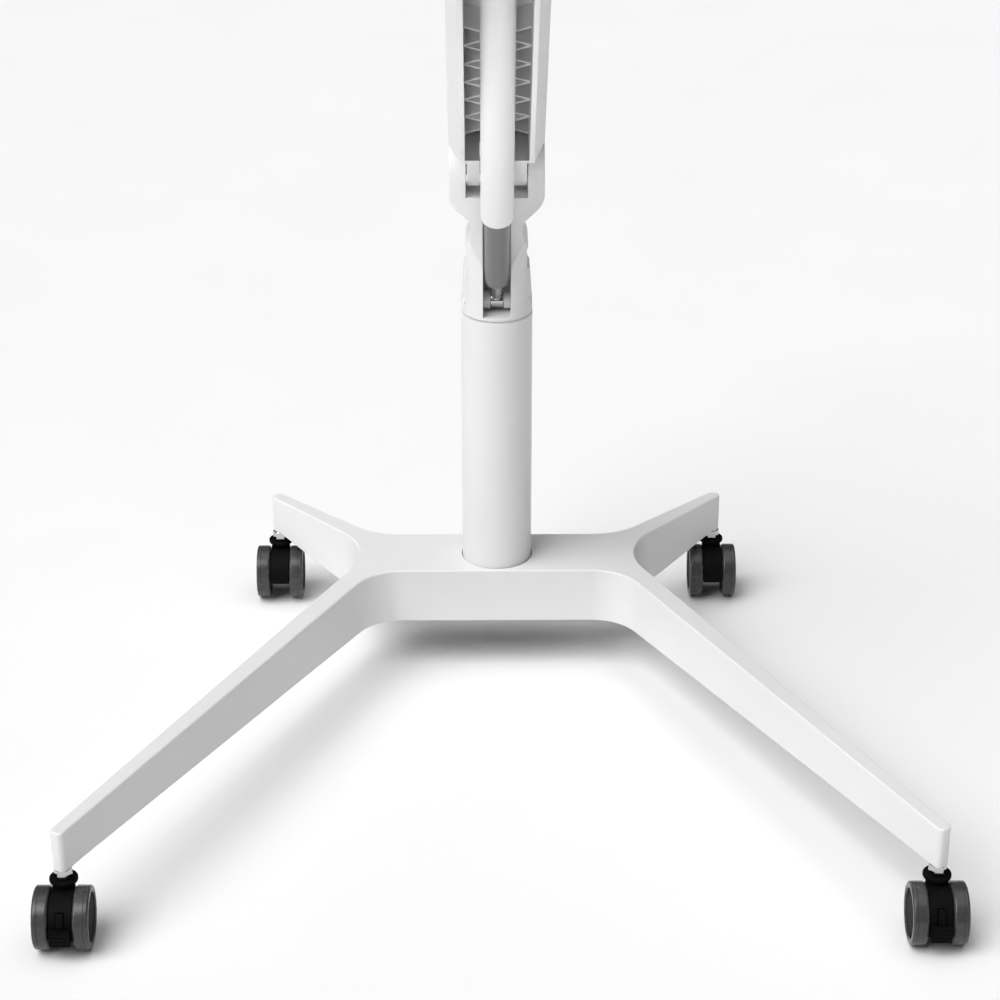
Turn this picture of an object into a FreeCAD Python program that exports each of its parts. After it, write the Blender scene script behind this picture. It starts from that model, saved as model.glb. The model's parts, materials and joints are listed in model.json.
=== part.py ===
"""Facial steamer on a castored floor stand with a gas-spring boom arm.

Units are millimetres, +Z is up and -Y is the front of the stand.  The origin is on the floor
under the column's axis.  Sheet "dims" holds the driving dimensions and sheet "layout" holds the
places that follow from them.  Every sub-part is one object whose sizes are bound to those cells.
"""
import FreeCAD, Part
import os
import Sketcher

DIMENSIONS = (
    # alias, value, meaning
    ("castor_headroom", 14, "castor's mounting face over its wheels"),
    ("hub_depth", 52, "height of the base casting at the hub"),
    ("tip_depth", 36, "height of a leg at its tip"),
    ("hub_front", 36, "hub's front face, ahead of the column axis"),
    ("hub_back", 36.5, "hub's back face, behind the column axis"),
    ("front_root_x", 113.4, "where a front leg's front edge leaves the hub"),
    ("front_tip_x", 337, "front corner of a front leg's tip"),
    ("front_tip_y", 456, "front corner of a front leg's tip"),
    ("front_heel_x", 347.5, "back corner of a front leg's tip"),
    ("front_heel_y", 450, "back corner of a front leg's tip"),
    ("side_notch_x", 113.6, "corner between the legs at the side"),
    ("side_notch_y", 8.6, "corner between the legs at the side"),
    ("rear_tip_x", 219, "front corner of a rear leg's tip"),
    ("rear_tip_y", 118, "front corner of a rear leg's tip"),
    ("rear_heel_x", 207, "back corner of a rear leg's tip"),
    ("rear_heel_y", 122.5, "back corner of a rear leg's tip"),
    ("rear_root_x", 113.5, "where a rear leg's back edge leaves the hub"),
    ("front_root_fillet", 45, "radius between hub and front leg"),
    ("rear_root_fillet", 60, "radius between hub and rear leg"),
    ("side_fillet", 62, "radius between the legs at the side"),
    ("tip_fillet", 4.5, "radius of a leg tip's upright corners"),
    ("edge_fillet", 1.6, "radius of the base's upper edge"),
    ("slope_start_front", 60, "where the front legs' undersides start to rise"),
    ("slope_start_rear", 50, "where the rear legs' undersides start to rise"),
    ("front_stem_x", 339.5, "front castor stem"),
    ("front_stem_y", 445, "front castor stem, ahead of the column axis"),
    ("rear_stem_x", 209, "rear castor stem"),
    ("rear_stem_y", 116, "rear castor stem, behind the column axis"),
    ("recess_depth", 12, "depth of the pocket under the hub"),
    ("recess_x", 150, "length of the pocket under the hub"),
    ("recess_y", 54, "width of the pocket under the hub"),
    ("cover_plate", 2, "thickness of the plate that closes the pocket"),
    ("cover_inset", 1, "how far the cover plate lies inside the pocket"),
    ("cover_post_wall", 3, "wall of the posts the cover plate stands on"),
    ("cover_gap", 0.3, "clearance round the cover plate"),
    ("cover_screw_x", 68, "cover screw, from the column axis"),
    ("cover_screw_r", 2, "cover screw thread radius"),
    ("cover_screw_head_r", 3.6, "cover screw head radius"),
    ("cover_screw_head", 1.6, "cover screw head height"),
    ("socket_depth", 30, "depth of the hole that holds the column"),
    ("column_r", 31.5, "column tube outer radius"),
    ("column_wall", 3, "column tube wall"),
    ("column_gap", 0.7, "clearance between the column and its hole"),
    ("column_top", 341.6, "height of the column tube's upper end"),
    ("plug_height", 25, "height of the threaded plug in the tube's foot"),
    ("fit", 0.05, "radial clearance of a running or push fit"),
    ("bolt_r", 6, "column bolt radius"),
    ("bolt_len", 32, "column bolt length under its head"),
    ("bolt_head_r", 10.4, "column bolt head, across corners, radius"),
    ("bolt_head", 7.5, "column bolt head height"),
    ("bush_wall", 8.4, "wall of the swivel bush"),
    ("bush_len", 40, "length of the swivel bush inside the tube"),
    ("seam", 1.4, "thickness of the bush's flange, seen as the seam ring"),
    ("seam_inset", 0.5, "how far the flange lies inside the tube's face"),
    ("head_gap", 0.2, "gap between the flange and the column head"),
    ("head_r", 31.2, "column head radius at its foot"),
    ("shoulder_rise", 43.8, "column head's foot to its shoulder"),
    ("shoulder_x", 28.8, "half width at the shoulder"),
    ("neck_x", 26, "half width just over the shoulder"),
    ("waist_x", 22.4, "half width at the waist"),
    ("waist_rise", 85, "column head's foot to its waist"),
    ("yoke_x", 41, "half width of the yoke"),
    ("yoke_rise", 104.8, "column head's foot to the yoke's lower corner"),
    ("yoke_fillet", 20, "radius of the yoke's lower corner"),
    ("yoke_half_depth", 20.5, "half depth of the yoke, front to back"),
    ("prong_rise", 110.5, "column head's foot to the floor between the prongs"),
    ("yoke_inner", 26.5, "half width between the prongs"),
    ("neck_flare", 6, "how much the neck's round envelope opens up to the waist"),
    ("slot_half", 12, "half width of the slot for the gas spring"),
    ("slot_rise", 2.8, "column head's foot to the slot's floor"),
    ("slot_back", 14, "how far the slot reaches behind the axis"),
    ("pivot_rise", 132.8, "column head's foot to the arm's pivot"),
    ("pivot_r", 8, "arm pivot pin radius"),
    ("spring_y", 10, "lower spring pin, ahead of the column axis"),
    ("spring_rise", 12.8, "column head's foot to the lower spring pin"),
    ("spring_pin_r", 4, "spring pin radius"),
    ("plug_half", 1.8, "half length of a plug over the lower spring pin"),
    ("spacer_r", 7.8, "spacer radius on the lower spring pin"),
    ("eye_r", 7, "radius of a spring eye"),
    ("eye_half", 5.5, "half width of a spring eye"),
    ("eye_neck_r", 4.6, "radius of a spring eye's neck beside its barrel"),
    ("eye_root_r", 6.4, "radius of the lower eye's neck at the cylinder"),
    ("arm_lean", 43, "arm's lean from upright at rest, degrees"),
    ("arm_len", 600, "arm pivot to wrist pivot"),
    ("arm_depth_front", 28, "arm's lips, below its pivot line"),
    ("arm_depth_back", 32, "arm's back, above its pivot line"),
    ("lip_x", 31, "half width over the arm's lips"),
    ("lip_inner", 26.7, "half width between the arm's lips"),
    ("flank_x", 41, "half width over the arm's flanks"),
    ("floor_wall", 4, "thickness of the arm's back wall"),
    ("arm_cut", 22.5, "height of the arm's lower cut over the pivot"),
    ("tongue_outer", 25.3, "half width over the arm's tongue"),
    ("tongue_inner", 14.5, "half width inside the arm's tongue"),
    ("tongue_r", 19, "radius of the arm's tongue about the pivot"),
    ("rib_start", 44, "first lattice cell, from the pivot"),
    ("rib_pitch", 29, "length of a lattice cell"),
    ("rib_count", 6, "number of lattice cells"),
    ("rib_wall", 2.2, "thickness of a lattice rib"),
    ("rib_height", 21, "height of a lattice rib"),
    ("channel_end", 345, "upper end of the open channel"),
    ("end_wall", 5, "wall that closes the channel along the level cut"),
    ("partition", 6, "wall between the open channel and the one over it"),
    ("notch_len", 65, "spring's opening in the arm's foot, from the pivot"),
    ("fork_thick", 10, "thickness of a cheek of the arm's fork"),
    ("fork_gap", 0.4, "gap between a cheek and the wrist bracket"),
    ("upper_pin_s", 300, "upper spring pin, along the arm"),
    ("upper_pin_y", 5, "upper spring pin, above the arm's pivot line"),
    ("spring_tube_r", 10.6, "gas spring cylinder radius"),
    ("spring_bore_r", 7.4, "gas spring cylinder bore radius"),
    ("spring_tube_start", 25, "lower pin to the cylinder's foot"),
    ("spring_tube_len", 210, "gas spring cylinder length"),
    ("rod_r", 4, "gas spring rod radius"),
    ("rod_start", 190, "lower pin to the rod's inner end"),
    ("sleeve_r", 14, "sleeve outer radius"),
    ("sleeve_bore_r", 13.2, "sleeve bore radius"),
    ("sleeve_start", 112, "lower pin to the sleeve's foot"),
    ("sleeve_stop", 12, "upper pin back to the sleeve's head"),
    ("thread_r", 4, "castor stem thread radius"),
    ("thread_len", 20, "castor stem thread length"),
    ("nut_r", 7.2, "castor nut radius across corners"),
    ("nut_height", 9.5, "castor nut height"),
    ("king_r", 5, "castor king pin radius"),
    ("king_len", 16.5, "king pin length under its nut"),
    ("wheel_r", 25, "castor wheel radius"),
    ("wheel_wide", 12.5, "castor wheel width"),
    ("wheel_inner", 9.5, "castor wheel's inner face, from its middle"),
    ("tread_thick", 5.2, "thickness of the tread"),
    ("tread_round", 3.3, "radius of the tread's shoulders"),
    ("axle_r", 3, "castor axle radius"),
    ("axle_half", 18.5, "half length of the castor axle"),
    ("trail", 13, "castor axle, ahead of its king pin"),
    ("web_half", 9, "half width of the castor body"),
    ("web_inset", 2.4, "castor body's round edge, inside the treads"),
    ("web_flat_braked", 8, "body's flat foot, under the axle, with a pedal"),
    ("web_flat_plain", 2.5, "body's flat foot, under the axle, without a pedal"),
    ("axle_boss_r", 5.5, "radius of the body's boss round the axle"),
    ("collar_r", 11.2, "radius of the castor body's collar"),
    ("collar_height", 3, "height of the castor body's collar"),
    ("collar_gap", 0.5, "gap between the collar and the nut"),
    ("boss_r", 8.4, "radius of the castor body's boss"),
    ("pedal_inset", 1, "pedal arm's outer edge, inside the treads"),
    ("pedal_depth", 7, "depth of the pedal's arm, in and out"),
    ("pedal_gap", 0.5, "clearance round the pedal's arm in its slot"),
    ("pedal_half", 2.7, "half width of the pedal's arm"),
    ("pedal_pad_half", 8, "half width of the pedal's pad"),
    ("pedal_pad_lap", 0.8, "how far the pad reaches into the arm"),
    ("pedal_pad_thick", 5, "thickness of the pedal's pad"),
    ("pedal_start", 48, "pedal arm's upper end, degrees from upright"),
    ("pedal_end", 109, "pedal's lower end, degrees from upright"),
    ("pedal_pad_sweep", 30, "angle that the pedal's pad covers"),
    ("pedal_travel", 20, "angle that the pedal turns when it is pressed"),
    ("wrist_pin_r", 5, "wrist pin radius"),
    ("wrist_half", 16, "half width of the wrist bracket"),
    ("wrist_r", 17, "radius of the wrist about its pin"),
    ("wrist_reach", 48, "wrist pin to the head's swivel axis"),
    ("wrist_deck", 18, "height of the wrist's deck over its pin"),
    ("spindle_r", 9, "radius of the head's spindle"),
    ("spindle_len", 26, "length of the head's spindle"),
    ("shell_r", 76, "head shell radius"),
    ("shell_wall", 3, "head shell wall"),
    ("shell_low", 78, "height of the lower shell"),
    ("shell_high", 74, "height of the upper shell"),
    ("shell_gap", 0.5, "joint line between the shells"),
    ("deck_gap", 0.4, "gap between the wrist's deck and the head"),
    ("console_half", 34, "half width of the console block"),
    ("console_out", 80, "console face, ahead of the swivel axis"),
    ("console_deep", 16, "depth of the console block"),
    ("console_low", 14, "console's lower edge, over the shell's foot"),
    ("console_high", 66, "console's upper edge, over the shell's foot"),
    ("cup_r", 40, "boiler cup radius"),
    ("cup_wall", 1.5, "boiler cup wall"),
    ("cup_height", 70, "boiler cup height"),
    ("coil_r", 26, "heating coil's mean radius"),
    ("coil_wire_r", 3.5, "heating coil's tube radius"),
    ("outlet_r", 15, "steam outlet's pipe radius"),
    ("outlet_wall", 2, "steam outlet's wall"),
    ("outlet_rise", 30, "steam outlet's ball over the shell's top"),
    ("outlet_ball_r", 22, "steam outlet's ball radius"),
    ("outlet_len", 92, "steam outlet's horn length"),
    ("outlet_mouth_r", 19, "steam outlet's mouth radius"),
    ("outlet_tilt", 72, "steam outlet's lean from upright, degrees"),
    ("tank_half", 44, "half width of the water tank"),
    ("tank_depth", 50, "depth of the water tank, front to back"),
    ("tank_height", 104, "height of the water tank"),
    ("tank_wall", 2.5, "water tank wall"),
    ("tank_round", 10, "radius of the water tank's upright corners"),
    ("cap_r", 20, "tank cap radius"),
    ("cap_height", 12, "tank cap height"),
    ("filler_r", 15, "tank filler hole radius"),
    ("knob_r", 13, "mist knob radius"),
    ("knob_len", 13, "mist knob length"),
    ("knob_shaft_r", 3, "mist knob shaft radius"),
    ("button_r", 6, "power button radius"),
    ("button_proud", 2.5, "how far the power button stands out"),
    ("button_x", 22, "power button, beside the console's middle"),
    ("knob_x", 10, "mist knob, beside the console's middle"),
    ("inlet_half", 11, "half width of the mains inlet"),
    ("inlet_deep", 16, "depth of the mains inlet, front to back"),
    ("inlet_drop", 11.7, "height of the mains inlet under the shell"),
    ("inlet_ahead", 46, "mains inlet's front, ahead of the swivel axis"),
    ("board_thick", 1.6, "control board thickness"),
)

LAYOUT = (
    # alias, formula, meaning
    ("castor_height", "2 * dims.wheel_r + dims.castor_headroom",
     "floor to the castor's mounting face"),
    ("base_top", "castor_height + dims.tip_depth", "height of the base's upper face"),
    ("under_hub", "base_top - dims.hub_depth", "height of the hub's underside"),
    ("socket_floor", "base_top - dims.socket_depth", "height of the column's seat"),
    ("recess_roof", "under_hub + dims.recess_depth", "roof of the pocket"),
    ("nut_foot", "castor_height - dims.nut_height", "foot of the castor's nut"),
    ("collar_high", "nut_foot - dims.collar_gap", "height of the collar's upper face"),
    ("web_r", "dims.wheel_r - dims.web_inset", "radius of the castor body about the axle"),
    ("pedal_outer_r", "dims.wheel_r - dims.pedal_inset", "outer radius of the pedal's arm"),
    ("pedal_inner_r", "pedal_outer_r - dims.pedal_depth", "inner radius of the pedal's arm"),
    ("pedal_slot_r", "pedal_inner_r - dims.pedal_gap", "inner radius of the pedal's slot"),
    ("pedal_pad_in", "pedal_outer_r - dims.pedal_pad_lap", "inner radius of the pedal's pad"),
    ("pedal_pad_out", "pedal_pad_in + dims.pedal_pad_thick", "outer radius of the pad"),
    ("head_foot", "dims.column_top + dims.seam + dims.head_gap", "foot of the column head"),
    ("shoulder_z", "head_foot + dims.shoulder_rise", "height of the head's shoulder"),
    ("waist_z", "head_foot + dims.waist_rise", "height of the head's waist"),
    ("yoke_z", "head_foot + dims.yoke_rise", "height of the yoke's lower corner"),
    ("prong_floor", "head_foot + dims.prong_rise", "height of the floor between the prongs"),
    ("slot_floor", "head_foot + dims.slot_rise", "height of the slot's floor"),
    ("pivot_z", "head_foot + dims.pivot_rise", "height of the arm's pivot"),
    ("spring_z", "head_foot + dims.spring_rise", "height of the lower spring pin"),
    ("upper_pin_back",
     "-dims.upper_pin_s * sin(dims.arm_lean) + dims.upper_pin_y * cos(dims.arm_lean)",
     "upper spring pin, Y"),
    ("upper_pin_up",
     "pivot_z + dims.upper_pin_s * cos(dims.arm_lean) + dims.upper_pin_y * sin(dims.arm_lean)",
     "upper spring pin, Z"),
    ("spring_run", "-upper_pin_back - dims.spring_y", "spring's reach forward"),
    ("spring_climb", "upper_pin_up - spring_z", "spring's rise"),
    ("spring_lean", "atan(spring_run / spring_climb)", "spring's lean from upright"),
    ("spring_len", "sqrt(spring_run * spring_run + spring_climb * spring_climb)", "pin to pin"),
    ("wrist_y", "-dims.arm_len * sin(dims.arm_lean)", "wrist pin, Y"),
    ("wrist_z", "pivot_z + dims.arm_len * cos(dims.arm_lean)", "wrist pin, Z"),
    ("head_y", "wrist_y - dims.wrist_reach", "head's swivel axis, Y"),
    ("deck_z", "wrist_z + dims.wrist_deck", "wrist's deck, Z"),
    ("shell_z", "deck_z + dims.deck_gap", "foot of the head's lower shell"),
    ("rim_z", "shell_z + dims.shell_low", "rim of the head's lower shell"),
    ("crown_z", "rim_z + dims.shell_gap + dims.shell_high", "top of the head's upper shell"),
)

ORIGIN = FreeCAD.Vector(0, 0, 0)
ALONG_X = FreeCAD.Rotation(FreeCAD.Vector(0, 1, 0), 90)
ALONG_MINUS_Y = FreeCAD.Rotation(FreeCAD.Vector(1, 0, 0), 90)
ABOUT_X = FreeCAD.Vector(1, 0, 0)
SIDES = (("left", -1), ("right", 1))
CORNERS = (
    # name, side, stem X, stem Y, has a brake pedal
    ("castor_fl", -1, "dims.front_stem_x", "-dims.front_stem_y", True),
    ("castor_fr", 1, "dims.front_stem_x", "-dims.front_stem_y", True),
    ("castor_rl", -1, "dims.rear_stem_x", "dims.rear_stem_y", False),
    ("castor_rr", 1, "dims.rear_stem_x", "dims.rear_stem_y", False),
)

doc = FreeCAD.newDocument("facial_steamer")
nodes = []


# ---------------------------------------------------------------- sheets and bindings

def make_sheet(name, rows, formula):
    """Fill a sheet with one row per value: alias, value or formula, meaning."""
    sheet = doc.addObject("Spreadsheet::Sheet", name)
    for row, (alias, content, meaning) in enumerate(rows, start=1):
        sheet.set(f"A{row}", alias)
        sheet.set(f"B{row}", f"={content}" if formula else str(content))
        sheet.set(f"C{row}", meaning)
        sheet.setAlias(f"B{row}", alias)
    return sheet


dims = make_sheet("dims", DIMENSIONS, formula=False)
layout = make_sheet("layout", LAYOUT, formula=True)
doc.recompute()


def number(expression):
    """Value of an expression over the two sheets."""
    value = dims.evalExpression(expression)
    return float(getattr(value, "Value", value))


def bind(obj, **expressions):
    """Bind properties of an object to expressions over the sheets."""
    for name, expression in expressions.items():
        obj.setExpression(name, expression)
    return obj


def put(obj, x="0", y="0", z="0", rotation=None, about_x=None):
    """Place an object; the place is bound, the fixed rotation is set once."""
    if rotation is not None:
        obj.Placement = FreeCAD.Placement(ORIGIN, rotation)
    if about_x is not None:
        obj.Placement = FreeCAD.Placement(ORIGIN, FreeCAD.Rotation(ABOUT_X, 1))
        obj.setExpression("Placement.Rotation.Angle", about_x)
    for axis, expression in (("x", x), ("y", y), ("z", z)):
        if expression != "0":
            obj.setExpression(f"Placement.Base.{axis}", expression)
    return obj


def node(obj, label):
    """Register an object as a sub-part under its own label."""
    obj.Label = label
    nodes.append(obj)
    return obj


# ---------------------------------------------------------------- primitives and booleans

def cylinder(name, radius, height, x="0", y="0", z="0", rotation=None, about_x=None):
    """Cylinder from its foot along its own Z."""
    obj = doc.addObject("Part::Cylinder", name)
    bind(obj, Radius=radius, Height=height)
    return put(obj, x, y, z, rotation, about_x)


def cross_pin(name, radius, half, y="0", z="0", x="0"):
    """Cylinder along X, centred on x."""
    return cylinder(name, radius, f"2 * ({half})", f"({x}) - ({half})", y, z, ALONG_X)


def box(name, x, y, z, length, width, height):
    """Box from its lowest corner."""
    obj = doc.addObject("Part::Box", name)
    bind(obj, Length=length, Width=width, Height=height)
    return put(obj, x, y, z)


def cut(name, base, tool):
    """Base without the tool."""
    obj = doc.addObject("Part::Cut", name)
    obj.Base = base
    obj.Tool = tool
    return obj


def fuse(name, *shapes):
    """Shapes joined into one."""
    obj = doc.addObject("Part::MultiFuse", name)
    obj.Shapes = list(shapes)
    obj.Refine = True
    return obj


def group(name, shapes):
    """Separate solids kept side by side."""
    obj = doc.addObject("Part::Compound", name)
    obj.Links = list(shapes)
    return obj


# ---------------------------------------------------------------- bodies and sketches

def new_body(name):
    """Empty PartDesign body."""
    return doc.addObject("PartDesign::Body", name)


def sketch_on(body, role, offset=None):
    """Sketch on one of the body's origin planes, moved along its normal."""
    sketch = body.newObject("Sketcher::SketchObject", f"{body.Name}_{role[:2].lower()}_sketch")
    plane = next(item for item in body.Origin.OriginFeatures if item.Role == role)
    sketch.AttachmentSupport = [(plane, "")]
    sketch.MapMode = "FlatFace"
    if offset is not None:
        sketch.setExpression("AttachmentOffset.Base.z", offset)
    return sketch


def pin_point(sketch, geometry, position, x, y):
    """Tie a point of the sketch to its two coordinates."""
    for kind, expression in (("DistanceX", x), ("DistanceY", y)):
        rule = Sketcher.Constraint(kind, -1, 1, geometry, position, number(expression))
        index = sketch.addConstraint(rule)
        sketch.setExpression(f"Constraints[{index}]", expression)


def outline(sketch, points):
    """Closed outline of straight runs through bound points."""
    places = [FreeCAD.Vector(number(x), number(y), 0) for x, y in points]
    first = sketch.GeometryCount
    count = len(points)
    for index in range(count):
        sketch.addGeometry(Part.LineSegment(places[index], places[(index + 1) % count]))
    for index in range(count):
        follower = first + (index + 1) % count
        sketch.addConstraint(Sketcher.Constraint("Coincident", first + index, 2, follower, 1))
    for index, (x, y) in enumerate(points):
        pin_point(sketch, first + index, 1, x, y)
    return sketch


def ring(sketch, x, y, radius):
    """Circle with a bound centre and radius."""
    centre = FreeCAD.Vector(number(x), number(y), 0)
    normal = FreeCAD.Vector(0, 0, 1)
    index = sketch.addGeometry(Part.Circle(centre, normal, number(radius)))
    rule = sketch.addConstraint(Sketcher.Constraint("Radius", index, number(radius)))
    sketch.setExpression(f"Constraints[{rule}]", radius)
    pin_point(sketch, index, 3, x, y)
    return sketch


def pad(body, sketch, length, down=False, midplane=False):
    """Add material along the sketch's normal."""
    feature = body.newObject("PartDesign::Pad", f"{body.Name}_pad")
    feature.Profile = sketch
    feature.Reversed = down
    feature.Midplane = midplane
    bind(feature, Length=length)
    return feature


def pocket(body, sketch, length, up=False, midplane=False):
    """Remove material against the sketch's normal, or along it."""
    feature = body.newObject("PartDesign::Pocket", f"{body.Name}_pocket")
    feature.Profile = sketch
    feature.Reversed = up
    feature.Midplane = midplane
    bind(feature, Length=length)
    return feature


def turn(body, sketch, kind="Revolution"):
    """Turn the sketch once round its vertical axis, adding or (Groove) removing material."""
    feature = body.newObject(f"PartDesign::{kind}", f"{body.Name}_{kind.lower()}")
    feature.Profile = sketch
    feature.ReferenceAxis = (sketch, ["V_Axis"])
    feature.Angle = 360
    return feature


def round_edges(body, chosen, radius):
    """Fillet the edges of the body's tip that the test chooses."""
    doc.recompute()
    tip = body.Tip
    edges = [f"Edge{i}" for i, edge in enumerate(tip.Shape.Edges, start=1) if chosen(edge)]
    if not edges:
        raise ValueError(f"{body.Name}: no edge to round")
    feature = body.newObject("PartDesign::Fillet", f"{body.Name}_fillet")
    feature.Base = (tip, edges)
    bind(feature, Radius=radius)
    return feature


def turned(name, points, x="0", y="0", z="0", rotation=None, about_x=None):
    """Body turned from one outline of radius and height."""
    body = new_body(name)
    turn(body, outline(sketch_on(body, "XZ_Plane"), points))
    return put(body, x, y, z, rotation, about_x)


def tube_outline(inner, outer, low, high):
    """Outline of a plain ring."""
    return [(inner, low), (outer, low), (outer, high), (inner, high)]


def mirrored_pair(points):
    """Outline made of the given right-hand points and their mirror image."""
    return list(points) + [(f"-({x})", y) for x, y in reversed(points)]


def upright(x, y, tolerance=1.0):
    """Test for an upright straight edge near a place in plan."""
    def test(edge):
        first, last = edge.Vertexes[0].Point, edge.Vertexes[-1].Point
        near = abs(abs(first.x) - number(x)) < tolerance and abs(first.y - number(y)) < tolerance
        return near and abs(first.x - last.x) < 1e-6 and abs(first.y - last.y) < 1e-6
    return test


def crosswise(y, z, tolerance=0.5):
    """Test for a straight edge along X at a place in side view."""
    def test(edge):
        first, last = edge.Vertexes[0].Point, edge.Vertexes[-1].Point
        if abs(first.y - last.y) > 1e-6 or abs(first.z - last.z) > 1e-6:
            return False
        return abs(first.y - number(y)) < tolerance and abs(first.z - number(z)) < tolerance
    return test


def lengthwise(x, z, tolerance=0.5):
    """Test for a straight edge along Y at a place in front view, on either side."""
    def test(edge):
        first, last = edge.Vertexes[0].Point, edge.Vertexes[-1].Point
        if abs(first.x - last.x) > 1e-6 or abs(first.z - last.z) > 1e-6:
            return False
        return abs(abs(first.x) - number(x)) < tolerance and abs(first.z - number(z)) < tolerance
    return test


# ---------------------------------------------------------------- base

def make_base_frame():
    """Cast base: a hub bar, two long front legs and two short rear legs."""
    body = new_body("base_frame")
    right = [
        ("dims.front_root_x", "-dims.hub_front"),
        ("dims.front_tip_x", "-dims.front_tip_y"),
        ("dims.front_heel_x", "-dims.front_heel_y"),
        ("dims.side_notch_x", "dims.side_notch_y"),
        ("dims.rear_tip_x", "dims.rear_tip_y"),
        ("dims.rear_heel_x", "dims.rear_heel_y"),
        ("dims.rear_root_x", "dims.hub_back"),
    ]
    plan = outline(sketch_on(body, "XY_Plane", "layout.base_top"), mirrored_pair(right))
    pad(body, plan, "dims.hub_depth", down=True)
    round_edges(body, upright("dims.front_root_x", "-dims.hub_front"), "dims.front_root_fillet")
    round_edges(body, upright("dims.side_notch_x", "dims.side_notch_y"), "dims.side_fillet")
    round_edges(body, upright("dims.rear_root_x", "dims.hub_back"), "dims.rear_root_fillet")
    for x, y in (("front_tip_x", "-dims.front_tip_y"), ("front_heel_x", "-dims.front_heel_y"),
                 ("rear_tip_x", "dims.rear_tip_y"), ("rear_heel_x", "dims.rear_heel_y")):
        round_edges(body, upright(f"dims.{x}", y), "dims.tip_fillet")
    rise_under_legs(body)
    top = number("layout.base_top")
    round_edges(body, lambda edge: edge.BoundBox.ZMin > top - 0.01, "dims.edge_fillet")
    seat = ring(sketch_on(body, "XY_Plane", "layout.base_top"), "0", "0",
                "dims.column_r + dims.column_gap")
    pocket(body, seat, "dims.socket_depth")
    bolt_hole = ring(sketch_on(body, "XY_Plane", "layout.base_top"), "0", "0", "dims.bolt_r + 0.5")
    pocket(body, bolt_hole, "dims.hub_depth")
    recess_under_hub(body)
    drill_stem_holes(body)
    return node(body, "base_frame")


def rise_under_legs(body):
    """Slope the legs' undersides up from the hub to the tips."""
    low = "layout.under_hub"
    high = "layout.castor_height"
    floor = "layout.under_hub - 5"
    for start, landing, end in (
            ("-dims.slope_start_front", "-(dims.front_stem_y - dims.nut_r - 2)", "-dims.front_tip_y"),
            ("dims.slope_start_rear", "dims.rear_stem_y - dims.nut_r - 2", "dims.rear_heel_y")):
        wedge = outline(sketch_on(body, "YZ_Plane"), [
            (start, low), (landing, high), (f"{end} * 1.2", high), (f"{end} * 1.2", floor),
            (start, floor)])
        pocket(body, wedge, "3 * dims.front_tip_x", midplane=True)


def recess_under_hub(body):
    """Pocket under the hub for the column bolt, and its cover's screw holes."""
    corner = [("dims.recess_x / 2", "-dims.recess_y / 2"), ("dims.recess_x / 2", "dims.recess_y / 2")]
    recess = outline(sketch_on(body, "XY_Plane", "layout.under_hub"), mirrored_pair(corner))
    pocket(body, recess, "dims.recess_depth", up=True)
    for side in (-1, 1):
        hole = sketch_on(body, "XY_Plane", "layout.recess_roof")
        ring(hole, f"{side} * dims.cover_screw_x", "0", "dims.cover_screw_r + dims.fit")
        pocket(body, hole, "3", up=True)


def drill_stem_holes(body):
    """Threaded holes for the castor stems in the leg tips."""
    for _, side, x, y, _ in CORNERS:
        hole = sketch_on(body, "XY_Plane", "layout.castor_height - 2")
        ring(hole, f"{side} * {x}", y, "dims.thread_r + dims.fit")
        pocket(body, hole, "dims.thread_len + 4", up=True)


def make_base_cover():
    """Plate that closes the pocket under the hub, standing on two posts with its screws."""
    half_x = "dims.recess_x / 2 - dims.cover_gap"
    half_y = "dims.recess_y / 2 - dims.cover_gap"
    post = "dims.recess_depth - dims.cover_plate - dims.cover_inset"
    under = "layout.under_hub + dims.cover_inset"
    plate = box("cover_sheet", f"-({half_x})", f"-({half_y})", under,
                f"2 * ({half_x})", f"2 * ({half_y})", "dims.cover_plate")
    posts = [cylinder(f"cover_post_{name}", "dims.cover_screw_r + dims.cover_post_wall", post,
                      x=f"{side} * dims.cover_screw_x",
                      z=f"{under} + dims.cover_plate") for name, side in SIDES]
    holes = [cylinder(f"cover_hole_{name}", "dims.cover_screw_r + 0.3", "dims.recess_depth + 2",
                      x=f"{side} * dims.cover_screw_x", z="layout.under_hub") for name, side in SIDES]
    blank = fuse("cover_blank", plate, *posts)
    node(cut("base_cover_plate", blank, group("cover_holes", holes)), "base_cover_plate")
    screws = []
    for name, side in SIDES:
        x = f"{side} * dims.cover_screw_x"
        head = cylinder(f"cover_head_{name}", "dims.cover_screw_head_r", "dims.cover_screw_head",
                        x=x, z=f"{under} - dims.cover_screw_head")
        thread = cylinder(f"cover_thread_{name}", "dims.cover_screw_r",
                          "dims.recess_depth + 1.5", x=x, z=under)
        screws.append(fuse(f"cover_screw_{name}", head, thread))
    node(group("cover_screws", screws), "cover_screws")


# ---------------------------------------------------------------- column

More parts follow.
